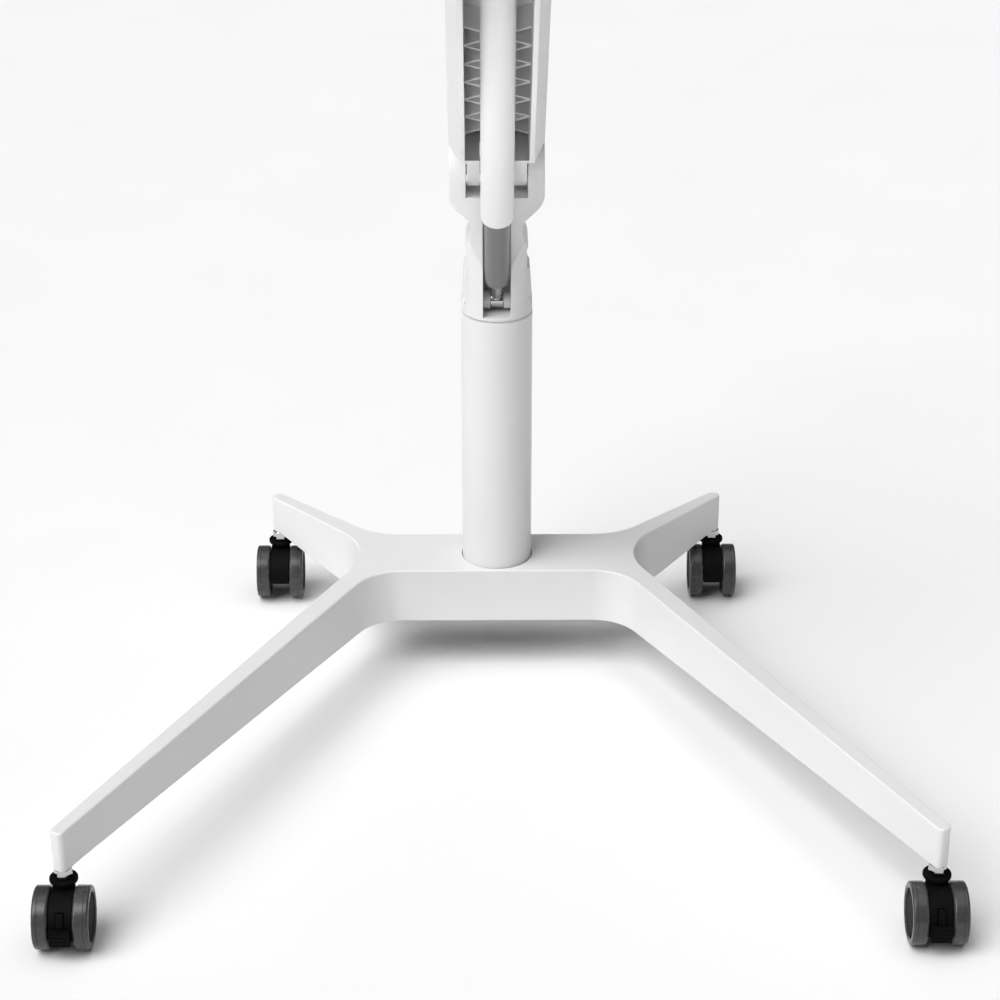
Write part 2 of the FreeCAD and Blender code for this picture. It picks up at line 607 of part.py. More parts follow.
def make_column():
    """Column tube, its threaded foot plug, its bolt and the swivel bush at its top."""
    bore = "dims.column_r - dims.column_wall"
    node(turned("column_tube", tube_outline(bore, "dims.column_r", "layout.socket_floor",
                                            "dims.column_top")), "column_tube")
    node(turned("column_plug", tube_outline("dims.bolt_r + dims.fit", f"{bore} - dims.fit",
                                            "layout.socket_floor",
                                            "layout.socket_floor + dims.plug_height")),
         "column_plug")
    head = doc.addObject("Part::Prism", "bolt_head")
    head.Polygon = 6
    bind(head, Circumradius="dims.bolt_head_r", Height="dims.bolt_head")
    put(head, z="layout.recess_roof - dims.bolt_head")
    shank = cylinder("bolt_shank", "dims.bolt_r", "dims.bolt_len", z="layout.recess_roof")
    node(fuse("column_bolt", head, shank), "column_bolt")
    inner = f"{bore} - dims.bush_wall"
    outer = f"{bore} - dims.fit"
    flange = "dims.column_r - dims.seam_inset"
    top = "dims.column_top + dims.seam"
    node(turned("swivel_bush", [
        (inner, "dims.column_top - dims.bush_len"), (outer, "dims.column_top - dims.bush_len"),
        (outer, "dims.column_top"), (flange, "dims.column_top"), (flange, top), (inner, top)]),
        "swivel_bush")


def make_column_head():
    """Casting on the column: spigot, slotted knuckle, waist and the arm's yoke."""
    body = new_body("column_head")
    foot = "layout.head_foot"
    top = "layout.pivot_z + dims.yoke_half_depth"
    front = outline(sketch_on(body, "XZ_Plane"), mirrored_pair([
        ("dims.head_r", foot),
        ("dims.head_r", f"{foot} + 9"),
        ("dims.shoulder_x", "layout.shoulder_z - 1"),
        ("dims.neck_x", "layout.shoulder_z + 2"),
        ("dims.neck_x", "layout.waist_z - 22"),
        ("dims.neck_x + 1.2", "layout.waist_z - 18"),
        ("dims.waist_x", "layout.waist_z - 6"),
        ("dims.waist_x", "layout.waist_z + 3"),
        ("dims.yoke_x", "layout.yoke_z"),
        ("dims.yoke_x", top)]))
    pad(body, front, "2 * dims.head_r", midplane=True)
    rim = "2 * dims.head_r"
    turn(body, outline(sketch_on(body, "XZ_Plane"), [
        ("dims.head_r", f"{foot} - 5"), (rim, f"{foot} - 5"), (rim, "layout.waist_z"),
        ("dims.head_r + dims.neck_flare", "layout.waist_z"),
        ("dims.head_r", "layout.shoulder_z + 1")]), kind="Groove")
    for side in (-1, 1):
        trim = outline(sketch_on(body, "YZ_Plane"), [
            (f"{side} * (dims.head_r + 5)", "layout.shoulder_z - 1"),
            (f"{side} * (dims.head_r + 0.1)", "layout.shoulder_z - 1"),
            (f"{side} * dims.yoke_half_depth", "layout.yoke_z"),
            (f"{side} * dims.yoke_half_depth", f"{top} + 5"),
            (f"{side} * (dims.head_r + 5)", f"{top} + 5")])
        pocket(body, trim, "3 * dims.yoke_x", midplane=True)
    round_edges(body, lengthwise("dims.yoke_x", "layout.yoke_z"), "dims.yoke_fillet")
    round_edges(body, lengthwise("dims.waist_x", "layout.waist_z + 3"), "dims.yoke_fillet / 3")
    for side in ("-", ""):
        round_edges(body, crosswise(f"{side}dims.yoke_half_depth", top), "dims.yoke_half_depth - 1")
    gap = outline(sketch_on(body, "XZ_Plane"), mirrored_pair([
        ("dims.yoke_inner", "layout.prong_floor"), ("dims.yoke_inner", f"{top} + 5")]))
    pocket(body, gap, "3 * dims.head_r", midplane=True)
    slot = outline(sketch_on(body, "YZ_Plane"), [
        ("-dims.head_r - 5", "layout.slot_floor"), ("dims.slot_back", "layout.slot_floor"),
        ("dims.slot_back", "layout.waist_z - 20"), ("0", "layout.prong_floor + 1"),
        ("-dims.head_r - 5", "layout.prong_floor + 1")])
    pocket(body, slot, "2 * dims.slot_half", midplane=True)
    for y, z, radius in (("0", "layout.pivot_z", "dims.pivot_r + dims.fit"),
                         ("-dims.spring_y", "layout.spring_z", "dims.spring_pin_r + dims.fit")):
        hole = ring(sketch_on(body, "YZ_Plane"), y, z, radius)
        pocket(body, hole, "3 * dims.yoke_x", midplane=True)
    spigot = "dims.column_r - dims.column_wall - dims.bush_wall - dims.fit"
    turn(body, outline(sketch_on(body, "XZ_Plane"), tube_outline(
        f"{spigot} - 5", spigot, "dims.column_top - dims.bush_len - 2", f"{foot} + 1")))
    return node(body, "column_head")


def make_pivots():
    """Arm pivot pin and the lower spring pin with its two spacers and two end plugs."""
    node(cross_pin("arm_pivot_pin", "dims.pivot_r", "dims.yoke_x - 1.5", z="layout.pivot_z"),
         "arm_pivot_pin")
    reach = "dims.head_r - 6"
    node(cross_pin("spring_pin_lower", "dims.spring_pin_r", reach, "-dims.spring_y",
                   "layout.spring_z"), "spring_pin_lower")
    plugs = []
    for name, side in SIDES:
        plugs.append(cross_pin(f"plug_{name}", "dims.spring_pin_r", "dims.plug_half",
                               "-dims.spring_y", "layout.spring_z",
                               f"{side} * (dims.head_r - 3.8)"))
    node(group("pin_plugs", plugs), "pin_plugs")
    thick = "(dims.slot_half - dims.eye_half - 0.6) / 2"
    spacers = []
    for name, side in SIDES:
        middle = f"{side} * (dims.eye_half + 0.4 + {thick})"
        washer = cross_pin(f"spacer_{name}", "dims.spacer_r", thick, "-dims.spring_y",
                           "layout.spring_z", middle)
        hole = cross_pin(f"spacer_hole_{name}", "dims.spring_pin_r + dims.fit", f"{thick} + 1",
                         "-dims.spring_y", "layout.spring_z", middle)
        spacers.append(cut(f"spacer_ring_{name}", washer, hole))
    node(group("spring_spacers", spacers), "spring_spacers")


# ---------------------------------------------------------------- gas spring

def along_spring(body):
    """Place a body made along Z on the spring's line, foot at the lower pin."""
    return put(body, y="-dims.spring_y", z="layout.spring_z", about_x="layout.spring_lean")


def make_eye(name, barrel_z, neck_points):
    """Spring eye: a cross barrel with a turned neck, bored for its pin."""
    barrel = cross_pin(f"{name}_barrel", "dims.eye_r", "dims.eye_half", z=barrel_z)
    neck = turned(f"{name}_neck", neck_points)
    blank = fuse(f"{name}_blank", barrel, neck)
    bore = cross_pin(f"{name}_bore", "dims.spring_pin_r + dims.fit", "dims.eye_half + 9", z=barrel_z)
    return node(along_spring(cut(name, blank, bore)), name)


def make_gas_spring():
    """Gas spring: eye and cylinder below, rod, sleeve and eye above."""
    foot = "dims.spring_tube_start"
    head = f"{foot} + dims.spring_tube_len"
    make_eye("gas_lower_eye", "0", [
        ("0", "2"), ("dims.eye_neck_r", "2"), ("dims.eye_neck_r", "dims.eye_r"),
        ("dims.eye_root_r", foot), ("0", foot)])
    node(along_spring(turned("gas_cylinder", [
        ("0", foot), ("dims.spring_tube_r - 1.5", foot), ("dims.spring_tube_r", f"{foot} + 1.5"),
        ("dims.spring_tube_r", head), ("dims.spring_bore_r", head),
        ("dims.spring_bore_r", f"{foot} + 4"), ("0", f"{foot} + 4")])), "gas_cylinder")
    stop = "layout.spring_len - dims.sleeve_stop"
    node(along_spring(turned("gas_rod", [
        ("0", "dims.rod_start"), ("dims.rod_r", "dims.rod_start"), ("dims.rod_r", stop),
        ("0", stop)])), "gas_rod")
    bore = "dims.sleeve_bore_r"
    collar = "dims.rod_r + dims.fit"
    node(along_spring(turned("gas_sleeve", [
        (bore, "dims.sleeve_start"), ("dims.sleeve_r", "dims.sleeve_start"),
        ("dims.sleeve_r", stop), (collar, stop), (collar, f"{stop} - 3"),
        (bore, f"{stop} - 3")])), "gas_sleeve")
    make_eye("gas_upper_eye", "layout.spring_len", [
        ("0", stop), ("dims.eye_r + 2", stop), ("dims.eye_neck_r", "layout.spring_len - dims.eye_r"),
        ("dims.eye_neck_r", "layout.spring_len - 2"), ("0", "layout.spring_len - 2")])


# ---------------------------------------------------------------- arm

def along_arm(body):
    """Place a body made along Z on the arm's line, foot at the arm's pivot."""
    return put(body, z="layout.pivot_z", about_x="dims.arm_lean")


def make_boom_arm():
    """Ribbed channel arm, open below, with a tongue at its foot and a fork at its end."""
    body = new_body("boom_arm")
    back = "dims.arm_depth_back"
    section = mirrored_pair([
        ("dims.lip_x", "-dims.arm_depth_front"), ("dims.flank_x", f"{back} - 20"),
        ("dims.flank_x", f"{back} - 12"), ("dims.flank_x - 9", back)])
    end = "dims.arm_len - dims.wrist_r - 5"
    pad(body, outline(sketch_on(body, "XY_Plane", "-60"), section), f"60 + {end}")
    cut_arm_foot(body)
    open_channel(body)
    add_tongue(body)
    add_fork(body, end)
    add_lattice(body)
    along_arm(body)
    return node(body, "boom_arm")


def cut_arm_foot(body):
    """Cut the section level, just over the yoke, as the arm stands at rest."""
    level = "dims.arm_cut / cos(dims.arm_lean)"
    slope = "tan(dims.arm_lean)"
    foot = outline(sketch_on(body, "YZ_Plane"), [
        ("-60", f"{level} + 60 * {slope}"), ("60", f"{level} - 60 * {slope}"), ("60", "-90"),
        ("-60", "-90")])
    pocket(body, foot, "3 * dims.flank_x", midplane=True)


def open_channel(body):
    """Hollow the arm from its underside, leaving an end wall along the level cut."""
    level = "dims.arm_cut / cos(dims.arm_lean) + dims.end_wall"
    slope = "tan(dims.arm_lean)"
    floor = "dims.arm_depth_back - dims.floor_wall"
    hollow = outline(sketch_on(body, "YZ_Plane"), [
        ("-dims.arm_depth_front - 5", f"{level} + (dims.arm_depth_front + 5) * {slope}"),
        (floor, f"{level} - ({floor}) * {slope}"),
        (floor, "dims.channel_end"), ("-dims.arm_depth_front - 5", "dims.channel_end")])
    pocket(body, hollow, "2 * dims.lip_inner", midplane=True)
    notch = outline(sketch_on(body, "YZ_Plane"), [
        ("-dims.arm_depth_front - 5", "0"), ("dims.sleeve_r - 6", "0"),
        ("dims.sleeve_r - 6", "dims.notch_len"), ("-dims.arm_depth_front - 5", "dims.notch_len")])
    pocket(body, notch, "2 * dims.tongue_inner", midplane=True)
    upper = outline(sketch_on(body, "YZ_Plane"), [
        ("-dims.arm_depth_front - 5", "dims.channel_end + dims.partition"),
        (floor, "dims.channel_end + dims.partition"),
        (floor, "dims.arm_len - dims.wrist_r - 30"),
        ("-dims.arm_depth_front - 5", "dims.arm_len - dims.wrist_r - 30")])
    pocket(body, upper, "2 * dims.lip_inner", midplane=True)


def add_tongue(body):
    """Two cheeks between the yoke's prongs, rounded and bored about the pivot."""
    wall = "dims.arm_cut / cos(dims.arm_lean) + dims.end_wall - 1"
    slope = "dims.tongue_r * tan(dims.arm_lean)"
    for side in (-1, 1):
        middle = f"{side} * (dims.tongue_outer + dims.tongue_inner) / 2"
        sheet = sketch_on(body, "YZ_Plane", f"{middle} - (dims.tongue_outer - dims.tongue_inner) / 2")
        outline(sheet, [
            ("-dims.tongue_r", "0"), ("-dims.tongue_r * 0.62", "-dims.tongue_r * 0.8"),
            ("0", "-dims.tongue_r"), ("dims.tongue_r * 0.62", "-dims.tongue_r * 0.8"),
            ("dims.tongue_r", "0"), ("dims.tongue_r", f"{wall} - {slope}"),
            ("-dims.tongue_r", f"{wall} + {slope}")])
        pad(body, sheet, "dims.tongue_outer - dims.tongue_inner")
    bore = ring(sketch_on(body, "YZ_Plane"), "0", "0", "dims.pivot_r + 1.5 + dims.fit")
    pocket(body, bore, "3 * dims.flank_x", midplane=True)
    pin = ring(sketch_on(body, "YZ_Plane"), "dims.upper_pin_y", "dims.upper_pin_s",
               "dims.spring_pin_r + dims.fit")
    pocket(body, pin, "2 * dims.lip_inner + 12", midplane=True)


def add_fork(body, end):
    """Two cheeks beside the wrist bracket, rounded about the wrist pin."""
    inner = "dims.wrist_half + dims.fork_gap"
    for start in (inner, f"-({inner} + dims.fork_thick)"):
        sheet = sketch_on(body, "YZ_Plane", start)
        outline(sheet, [
            ("-dims.wrist_r", f"{end} - 10"), ("dims.wrist_r", f"{end} - 10"),
            ("dims.wrist_r", "dims.arm_len"), ("dims.wrist_r * 0.7", "dims.arm_len + dims.wrist_r * 0.7"),
            ("0", "dims.arm_len + dims.wrist_r"),
            ("-dims.wrist_r * 0.7", "dims.arm_len + dims.wrist_r * 0.7"),
            ("-dims.wrist_r", "dims.arm_len")])
        pad(body, sheet, "dims.fork_thick")
    bore = ring(sketch_on(body, "YZ_Plane"), "0", "dims.arm_len", "dims.wrist_pin_r + dims.fit")
    pocket(body, bore, "3 * dims.flank_x", midplane=True)


def add_lattice(body):
    """Row of X-shaped ribs on the channel's floor."""
    floor = "dims.arm_depth_back - dims.floor_wall"
    half = "(dims.lip_inner + 0.5)"
    wide = "dims.rib_wall * 0.7"
    ribs = []
    for side in (-1, 1):
        sheet = sketch_on(body, "XZ_Plane", f"-({floor} + 0.5)")
        low, high = "dims.rib_start", "(dims.rib_start + dims.rib_pitch)"
        outline(sheet, [
            (f"{-side} * {half}", f"{low} - {wide}"), (f"{-side} * {half}", f"{low} + {wide}"),
            (f"{side} * {half}", f"{high} + {wide}"), (f"{side} * {half}", f"{high} - {wide}")])
        ribs.append(pad(body, sheet, "dims.rib_height + 0.5"))
    pattern = body.newObject("PartDesign::LinearPattern", "lattice_row")
    pattern.Originals = ribs
    axis = next(item for item in body.Origin.OriginFeatures if item.Role == "Z_Axis")
    pattern.Direction = (axis, [""])
    bind(pattern, Length="dims.rib_pitch * (dims.rib_count - 1)", Occurrences="dims.rib_count")
    body.Tip = pattern


def make_arm_fittings():
    """Bushes on the arm's pivot, the upper spring pin and the wrist pin."""
    bushes = []
    for name, side in SIDES:
        span = "(dims.tongue_outer - dims.tongue_inner) / 2"
        middle = f"{side} * (dims.tongue_outer + dims.tongue_inner) / 2"
        sleeve = cross_pin(f"bush_{name}", "dims.pivot_r + 1.5", span, x=middle)
        hole = cross_pin(f"bush_hole_{name}", "dims.pivot_r + dims.fit", f"{span} + 1", x=middle)
        bushes.append(cut(f"bush_ring_{name}", sleeve, hole))
    node(along_arm(group("arm_bushes", bushes)), "arm_bushes")
    pin = cross_pin("upper_pin_blank", "dims.spring_pin_r", "dims.lip_inner + 5",
                    "dims.upper_pin_y", "dims.upper_pin_s")
    node(along_arm(group("spring_pin_upper", [pin])), "spring_pin_upper")
    wrist = cross_pin("wrist_pin_blank", "dims.wrist_pin_r", "dims.wrist_half + 9.5",
                      z="dims.arm_len")
    node(along_arm(group("wrist_pin", [wrist])), "wrist_pin")


# ---------------------------------------------------------------- castors

def make_castors():
    """Four twin-wheel castors; the front two have brake pedals."""
    stems = []
    for name, side, x, y, braked in CORNERS:
        stem_x = f"{side} * {x}"
        stems.append(make_stem(name, stem_x, y))
        make_castor_body(name, stem_x, y, braked)
        axle_y = f"{y} - dims.trail"
        node(cross_pin(f"{name}_axle", "dims.axle_r", "dims.axle_half", axle_y, "dims.wheel_r",
                       stem_x), f"{name}_axle")
        for hand, sign in SIDES:
            make_wheel(f"{name}_{hand}", stem_x, axle_y, sign)
        if braked:
            make_pedal(name, stem_x, axle_y)
    node(group("castor_stems", stems), "castor_stems")


def make_stem(name, x, y):
    """Threaded stem, hexagon nut and king pin."""
    thread = cylinder(f"{name}_thread", "dims.thread_r", "dims.thread_len", x, y, "layout.castor_height")
    nut = doc.addObject("Part::Prism", f"{name}_nut")
    nut.Polygon = 6
    bind(nut, Circumradius="dims.nut_r", Height="dims.nut_height")
    put(nut, x, y, "layout.nut_foot")
    king = cylinder(f"{name}_king", "dims.king_r", "dims.king_len", x, y,
                    "layout.nut_foot - dims.king_len")
    return fuse(f"{name}_stem", thread, nut, king)


def make_castor_body(name, x, y, braked):
    """Castor body: a web between the wheels with a collar round the king pin."""
    axle_y = f"{y} - dims.trail"
    disc = cross_pin(f"{name}_disc", "layout.web_r", "dims.web_half", axle_y, "dims.wheel_r", x)
    flat = "dims.wheel_r - dims.web_flat_braked" if braked else "dims.wheel_r - dims.web_flat_plain"
    foot = box(f"{name}_foot", f"{x} - dims.wheel_r", f"{axle_y} - dims.wheel_r", "0",
               "2 * dims.wheel_r", "2 * dims.wheel_r", flat)
    web = cut(f"{name}_web", disc, foot)
    hub = cross_pin(f"{name}_axle_boss", "dims.axle_boss_r", "dims.web_half", axle_y,
                    "dims.wheel_r", x)
    collar = cylinder(f"{name}_collar", "dims.collar_r", "dims.collar_height", x, y,
                      "layout.collar_high - dims.collar_height")
    boss = cylinder(f"{name}_boss", "dims.boss_r", "layout.collar_high - dims.wheel_r", x, y,
                    "dims.wheel_r")
    saddle = box(f"{name}_saddle", f"{x} - dims.web_half", f"{y} - dims.trail",
                 "dims.wheel_r", "2 * dims.web_half", "dims.trail", "layout.web_r - 0.5")
    solid = fuse(f"{name}_solid", web, hub, collar, boss, saddle)
    king_hole = cylinder(f"{name}_king_hole", "dims.king_r + dims.fit", "dims.king_len + 5", x, y,
                         "layout.nut_foot - dims.king_len - 1")
    axle_hole = cross_pin(f"{name}_axle_hole", "dims.axle_r + dims.fit", "dims.axle_half",
                          axle_y, "dims.wheel_r", x)
    tools = [king_hole, axle_hole]
    if braked:
        tools.append(pedal_sector(f"{name}_slot", "layout.pedal_slot_r", "dims.wheel_r + 10",
                                  "dims.pedal_half + dims.pedal_gap", x, axle_y,
                                  "dims.pedal_start - 2", "dims.pedal_end + dims.pedal_travel + 3"))
    node(cut(f"{name}_body", solid, group(f"{name}_tools", tools)), f"{name}_body")


def pedal_sector(name, inner, outer, half, x, y, start, end):
    """Sector of a ring about the axle; angles run from upright towards the front, in degrees."""
    full = cross_pin(f"{name}_disc", outer, half, "0", "0", x)
    bind(full, Angle=f"{end} - ({start})")
    turn_to_start = FreeCAD.Rotation(ABOUT_X, 180 + number(start))
    full.Placement.Rotation = turn_to_start.multiply(ALONG_X)
    full.setExpression("Placement.Base.y", y)
    full.setExpression("Placement.Base.z", "dims.wheel_r")
    core = cross_pin(f"{name}_core", inner, f"{half} + 1", y, "dims.wheel_r", x)
    return cut(name, full, core)


def make_wheel(name, x, y, sign):
    """One wheel: a hub with a dished outer face and a soft tread."""
    inner = "dims.wheel_inner"
    outer = "dims.wheel_inner + dims.wheel_wide"
    rim = "dims.wheel_r - dims.tread_thick"
    bore = "dims.axle_r + dims.fit"
    facing = FreeCAD.Rotation(FreeCAD.Vector(0, 1, 0), 90 * sign)
    hub = turned(f"{name}_hub", [
        (bore, inner), (rim, inner), (rim, f"{outer} - 0.6"), (f"{rim} - 2.5", f"{outer} - 0.6"),
        (f"{rim} - 4.5", f"{outer} - 4"), ("dims.axle_r + 6", f"{outer} - 4"),
        ("dims.axle_r + 4.5", f"{outer} - 2"), ("0", f"{outer} - 2"),
        ("0", "dims.axle_half + 0.4"), (bore, "dims.axle_half + 0.4")],
        x, y, "dims.wheel_r", rotation=facing)
    node(hub, f"{name}_hub")
    seat = f"{rim} + dims.fit"
    tread = turned(f"{name}_tread", tube_outline(seat, "dims.wheel_r", inner, outer),
                   x, y, "dims.wheel_r", rotation=facing)
    radius = number("dims.wheel_r")
    round_edges(tread, lambda edge: getattr(edge.Curve, "Radius", 0) > radius - 0.01,
                "dims.tread_round")
    node(tread, f"{name}_tread")


def make_pedal(name, x, y):
    """Brake pedal: a narrow curved arm in the body's slot with a wide pad at its foot."""
    arm = pedal_sector(f"{name}_pedal_arm", "layout.pedal_inner_r", "layout.pedal_outer_r",
                       "dims.pedal_half", x, y, "dims.pedal_start", "dims.pedal_end")
    pad_piece = pedal_sector(f"{name}_pedal_pad", "layout.pedal_pad_in", "layout.pedal_pad_out",
                             "dims.pedal_pad_half", x, y,
                             "dims.pedal_end - dims.pedal_pad_sweep", "dims.pedal_end")
    node(fuse(f"{name}_pedal", arm, pad_piece), f"{name}_pedal")


# ---------------------------------------------------------------- wrist and head

def make_wrist():
    """Bracket on the wrist pin that carries the head's spindle."""
    barrel = cross_pin("wrist_barrel", "dims.wrist_r", "dims.wrist_half", "layout.wrist_y",
                       "layout.wrist_z")
    bridge = box("wrist_bridge", "-dims.wrist_half + 2", "layout.head_y", "layout.wrist_z - 8",
                 "2 * dims.wrist_half - 4", "dims.wrist_reach", "18")
    boss = cylinder("wrist_boss", "dims.wrist_half + 2", "dims.wrist_deck + 12", "0",
                    "layout.head_y", "layout.wrist_z - 12")
    spindle = cylinder("wrist_spindle", "dims.spindle_r", "dims.spindle_len", "0",
                       "layout.head_y", "layout.deck_z")
    solid = fuse("wrist_solid", barrel, bridge, boss, spindle)
    hole = cross_pin("wrist_hole", "dims.wrist_pin_r + dims.fit", "dims.wrist_half + 1",
                     "layout.wrist_y", "layout.wrist_z")
    node(cut("wrist_bracket", solid, hole), "wrist_bracket")


def make_lower_shell():
    """Lower shell of the head with a socket for the spindle and a console block."""
    wall = "dims.shell_wall"
    socket = "dims.spindle_r + dims.fit"
    rise = "dims.spindle_len + 1"
    high = "dims.shell_low"
    body = new_body("lower_shell_turned")
    turn(body, outline(sketch_on(body, "XZ_Plane"), [
        (socket, "0"), ("dims.shell_r - 22", "0"), ("dims.shell_r - 6", "9"),
        ("dims.shell_r", "26"), ("dims.shell_r", high), (f"dims.shell_r - {wall}", high),
        (f"dims.shell_r - {wall}", "27"), ("dims.shell_r - 8.2", "11.5"),
        ("dims.shell_r - 23", wall), (f"{socket} + 5", wall), (f"{socket} + 5", rise),
        (socket, rise)]))
    put(body, y="layout.head_y", z="layout.shell_z")
    console = box("console_block", "-dims.console_half", "layout.head_y - dims.console_out",
                  "layout.shell_z + dims.console_low", "2 * dims.console_half", "dims.console_deep",
                  "dims.console_high - dims.console_low")
    solid = fuse("lower_shell_solid", body, console)
    middle = "layout.shell_z + (dims.console_low + dims.console_high) / 2"
    holes = group("lower_shell_holes", [
        cylinder("knob_hole", "dims.knob_shaft_r + dims.fit", "40", "-dims.knob_x",
                 "layout.head_y - dims.console_out + 30", middle, ALONG_MINUS_Y),
        cylinder("button_hole", "dims.button_r + 0.3", "40", "dims.button_x",
                 "layout.head_y - dims.console_out + 30", middle, ALONG_MINUS_Y)])
    node(cut("housing_lower", solid, holes), "housing_lower")


def make_upper_shell():
    """Domed upper shell with a round opening for the steam outlet."""
    wall = "dims.shell_wall"
    high = "dims.shell_high"
    opening = "dims.outlet_r + 0.4"
    body = new_body("housing_upper")
    turn(body, outline(sketch_on(body, "XZ_Plane"), [
        (f"dims.shell_r - {wall}", "0"), ("dims.shell_r", "0"), ("dims.shell_r", "22"),
        ("dims.shell_r - 4", f"{high} * 0.55"), ("dims.shell_r - 14", f"{high} * 0.78"),
        ("dims.shell_r - 30", f"{high} * 0.93"), ("dims.shell_r - 48", high), (opening, high),
        (opening, f"{high} - {wall}"), ("dims.shell_r - 48.5", f"{high} - {wall}"),
        ("dims.shell_r - 31", f"{high} * 0.93 - {wall}"),
        ("dims.shell_r - 16", f"{high} * 0.78 - 2.4"), ("dims.shell_r - 7", f"{high} * 0.55 - 1"),
        (f"dims.shell_r - {wall}", "21")]))
    put(body, y="layout.head_y", z="layout.rim_z + dims.shell_gap")
    node(body, "housing_upper")


def make_boiler():
    """Steel boiler cup on the spindle socket, with its ring heater and the control board."""
    foot = "layout.shell_z + dims.spindle_len + 1"
    mouth = f"layout.crown_z - 6.5 - ({foot})"
    node(turned("boiler_cup", [
        ("0", "0"), ("dims.cup_r", "0"), ("dims.cup_r", "dims.cup_height"),
        ("dims.outlet_r - 3", "dims.cup_height + 14"), ("dims.outlet_r - 3", mouth),
        ("dims.outlet_r - 3 - dims.cup_wall", mouth),
        ("dims.outlet_r - 3 - dims.cup_wall", "dims.cup_height + 13"),
        ("dims.cup_r - dims.cup_wall", "dims.cup_height - 1"),
        ("dims.cup_r - dims.cup_wall", "dims.cup_wall"), ("0", "dims.cup_wall")],
        y="layout.head_y", z=foot), "boiler_cup")
    coil = doc.addObject("Part::Torus", "heater_coil")
    bind(coil, Radius1="dims.coil_r", Radius2="dims.coil_wire_r")
    put(coil, y="layout.head_y", z=f"{foot} + dims.cup_wall + dims.coil_wire_r + 0.3")
    node(coil, "heater_coil")
    node(box("control_board", "-dims.console_half + 8",
             "layout.head_y - dims.console_out + dims.console_deep + 0.3",
             "layout.shell_z + 18", "2 * dims.console_half - 16", "dims.board_thick", "44"),
         "control_board")


def make_outlet():
    """Steam outlet: an upright pipe, a ball and a horn that leans to the front."""
    foot = "layout.crown_z - 6"
    ball_z = "layout.crown_z + dims.outlet_rise"
    pipe = cylinder("outlet_pipe", "dims.outlet_r", "dims.outlet_rise + 6", "0", "layout.head_y",
                    foot)
    collar = cylinder("outlet_collar", "dims.outlet_r + 5", "5", "0", "layout.head_y",
                      "layout.crown_z + 0.3")
    ball = doc.addObject("Part::Sphere", "outlet_ball")
    bind(ball, Radius="dims.outlet_ball_r")
    put(ball, y="layout.head_y", z=ball_z)
    horn = doc.addObject("Part::Cone", "outlet_horn")
    bind(horn, Radius1="dims.outlet_r", Radius2="dims.outlet_mouth_r", Height="dims.outlet_len")
    put(horn, y="layout.head_y", z=ball_z, about_x="dims.outlet_tilt")
    solid = fuse("outlet_solid", pipe, collar, ball, horn)
    inner = "dims.outlet_r - dims.outlet_wall"
    down = cylinder("outlet_bore", inner, "dims.outlet_rise + 8", "0", "layout.head_y",
                    f"{foot} - 1")
    chamber = doc.addObject("Part::Sphere", "outlet_chamber")
    bind(chamber, Radius=f"{inner} + 2")
    put(chamber, y="layout.head_y", z=ball_z)
    flare = doc.addObject("Part::Cone", "outlet_flare")
    bind(flare, Radius1=f"{inner} - 1", Radius2="dims.outlet_mouth_r - dims.outlet_wall",
         Height="dims.outlet_len + 0.5")
    put(flare, y="layout.head_y", z=ball_z, about_x="dims.outlet_tilt")
    node(cut("steam_outlet", solid, fuse("outlet_hollow", down, chamber, flare)), "steam_outlet")


def make_tank():
    """Clear water tank behind the head, and its screw cap."""
    front = "layout.head_y + dims.shell_r + 0.3"
    foot = "layout.shell_z + 22"
    body = new_body("water_tank")
    plan = [("dims.tank_half", "0"), ("dims.tank_half", "dims.tank_depth")]
    pad(body, outline(sketch_on(body, "XY_Plane"), mirrored_pair(plan)), "dims.tank_height")
    round_edges(body, lambda edge: abs(edge.Vertexes[0].Z - edge.Vertexes[-1].Z) > 1,
                "dims.tank_round")
    wall = "dims.tank_wall"
    inside = [(f"dims.tank_half - {wall}", wall), (f"dims.tank_half - {wall}",
                                                   f"dims.tank_depth - {wall}")]
    hollow = outline(sketch_on(body, "XY_Plane", f"dims.tank_height - {wall}"),
                     mirrored_pair(inside))
    pocket(body, hollow, f"dims.tank_height - 2 * {wall}")
    filler = ring(sketch_on(body, "XY_Plane", "dims.tank_height"), "0", "dims.tank_depth / 2",
                  "dims.filler_r")
    pocket(body, filler, f"{wall} + 1")
    put(body, y=front, z=foot)
    node(body, "water_tank")
    cap_z = f"{foot} + dims.tank_height + 0.3"
    node(turned("tank_cap", [
        ("0", "-6"), ("dims.filler_r - 0.5", "-6"), ("dims.filler_r - 0.5", "0"),
        ("dims.cap_r", "0"), ("dims.cap_r", "dims.cap_height - 2"),
        ("dims.cap_r - 2", "dims.cap_height"), ("0", "dims.cap_height")],
        y=f"{front} + dims.tank_depth / 2", z=cap_z), "tank_cap")


def make_controls():
    """Mist knob, power button and mains inlet."""
    face = "layout.head_y - dims.console_out"
    middle = "layout.shell_z + (dims.console_low + dims.console_high) / 2"
    node(turned("mist_knob", [
        ("0", "-12"), ("dims.knob_shaft_r", "-12"), ("dims.knob_shaft_r", "0.5"),
        ("dims.knob_r", "0.5"), ("dims.knob_r - 1", "dims.knob_len - 1"),
        ("dims.knob_r - 2.5", "dims.knob_len"), ("0", "dims.knob_len")],
        "-dims.knob_x", face, middle, ALONG_MINUS_Y), "mist_knob")
    node(turned("power_button", [
        ("0", "-10"), ("dims.button_r", "-10"), ("dims.button_r", "dims.button_proud - 0.8"),
        ("dims.button_r - 0.8", "dims.button_proud"), ("0", "dims.button_proud")],
        "dims.button_x", face, middle, ALONG_MINUS_Y), "power_button")
    block = box("inlet_block", "-dims.inlet_half", "layout.head_y - dims.inlet_ahead",
                "layout.shell_z - dims.inlet_drop - 0.3", "2 * dims.inlet_half", "dims.inlet_deep",
                "dims.inlet_drop")
    node(group("power_inlet", [block]), "power_inlet")


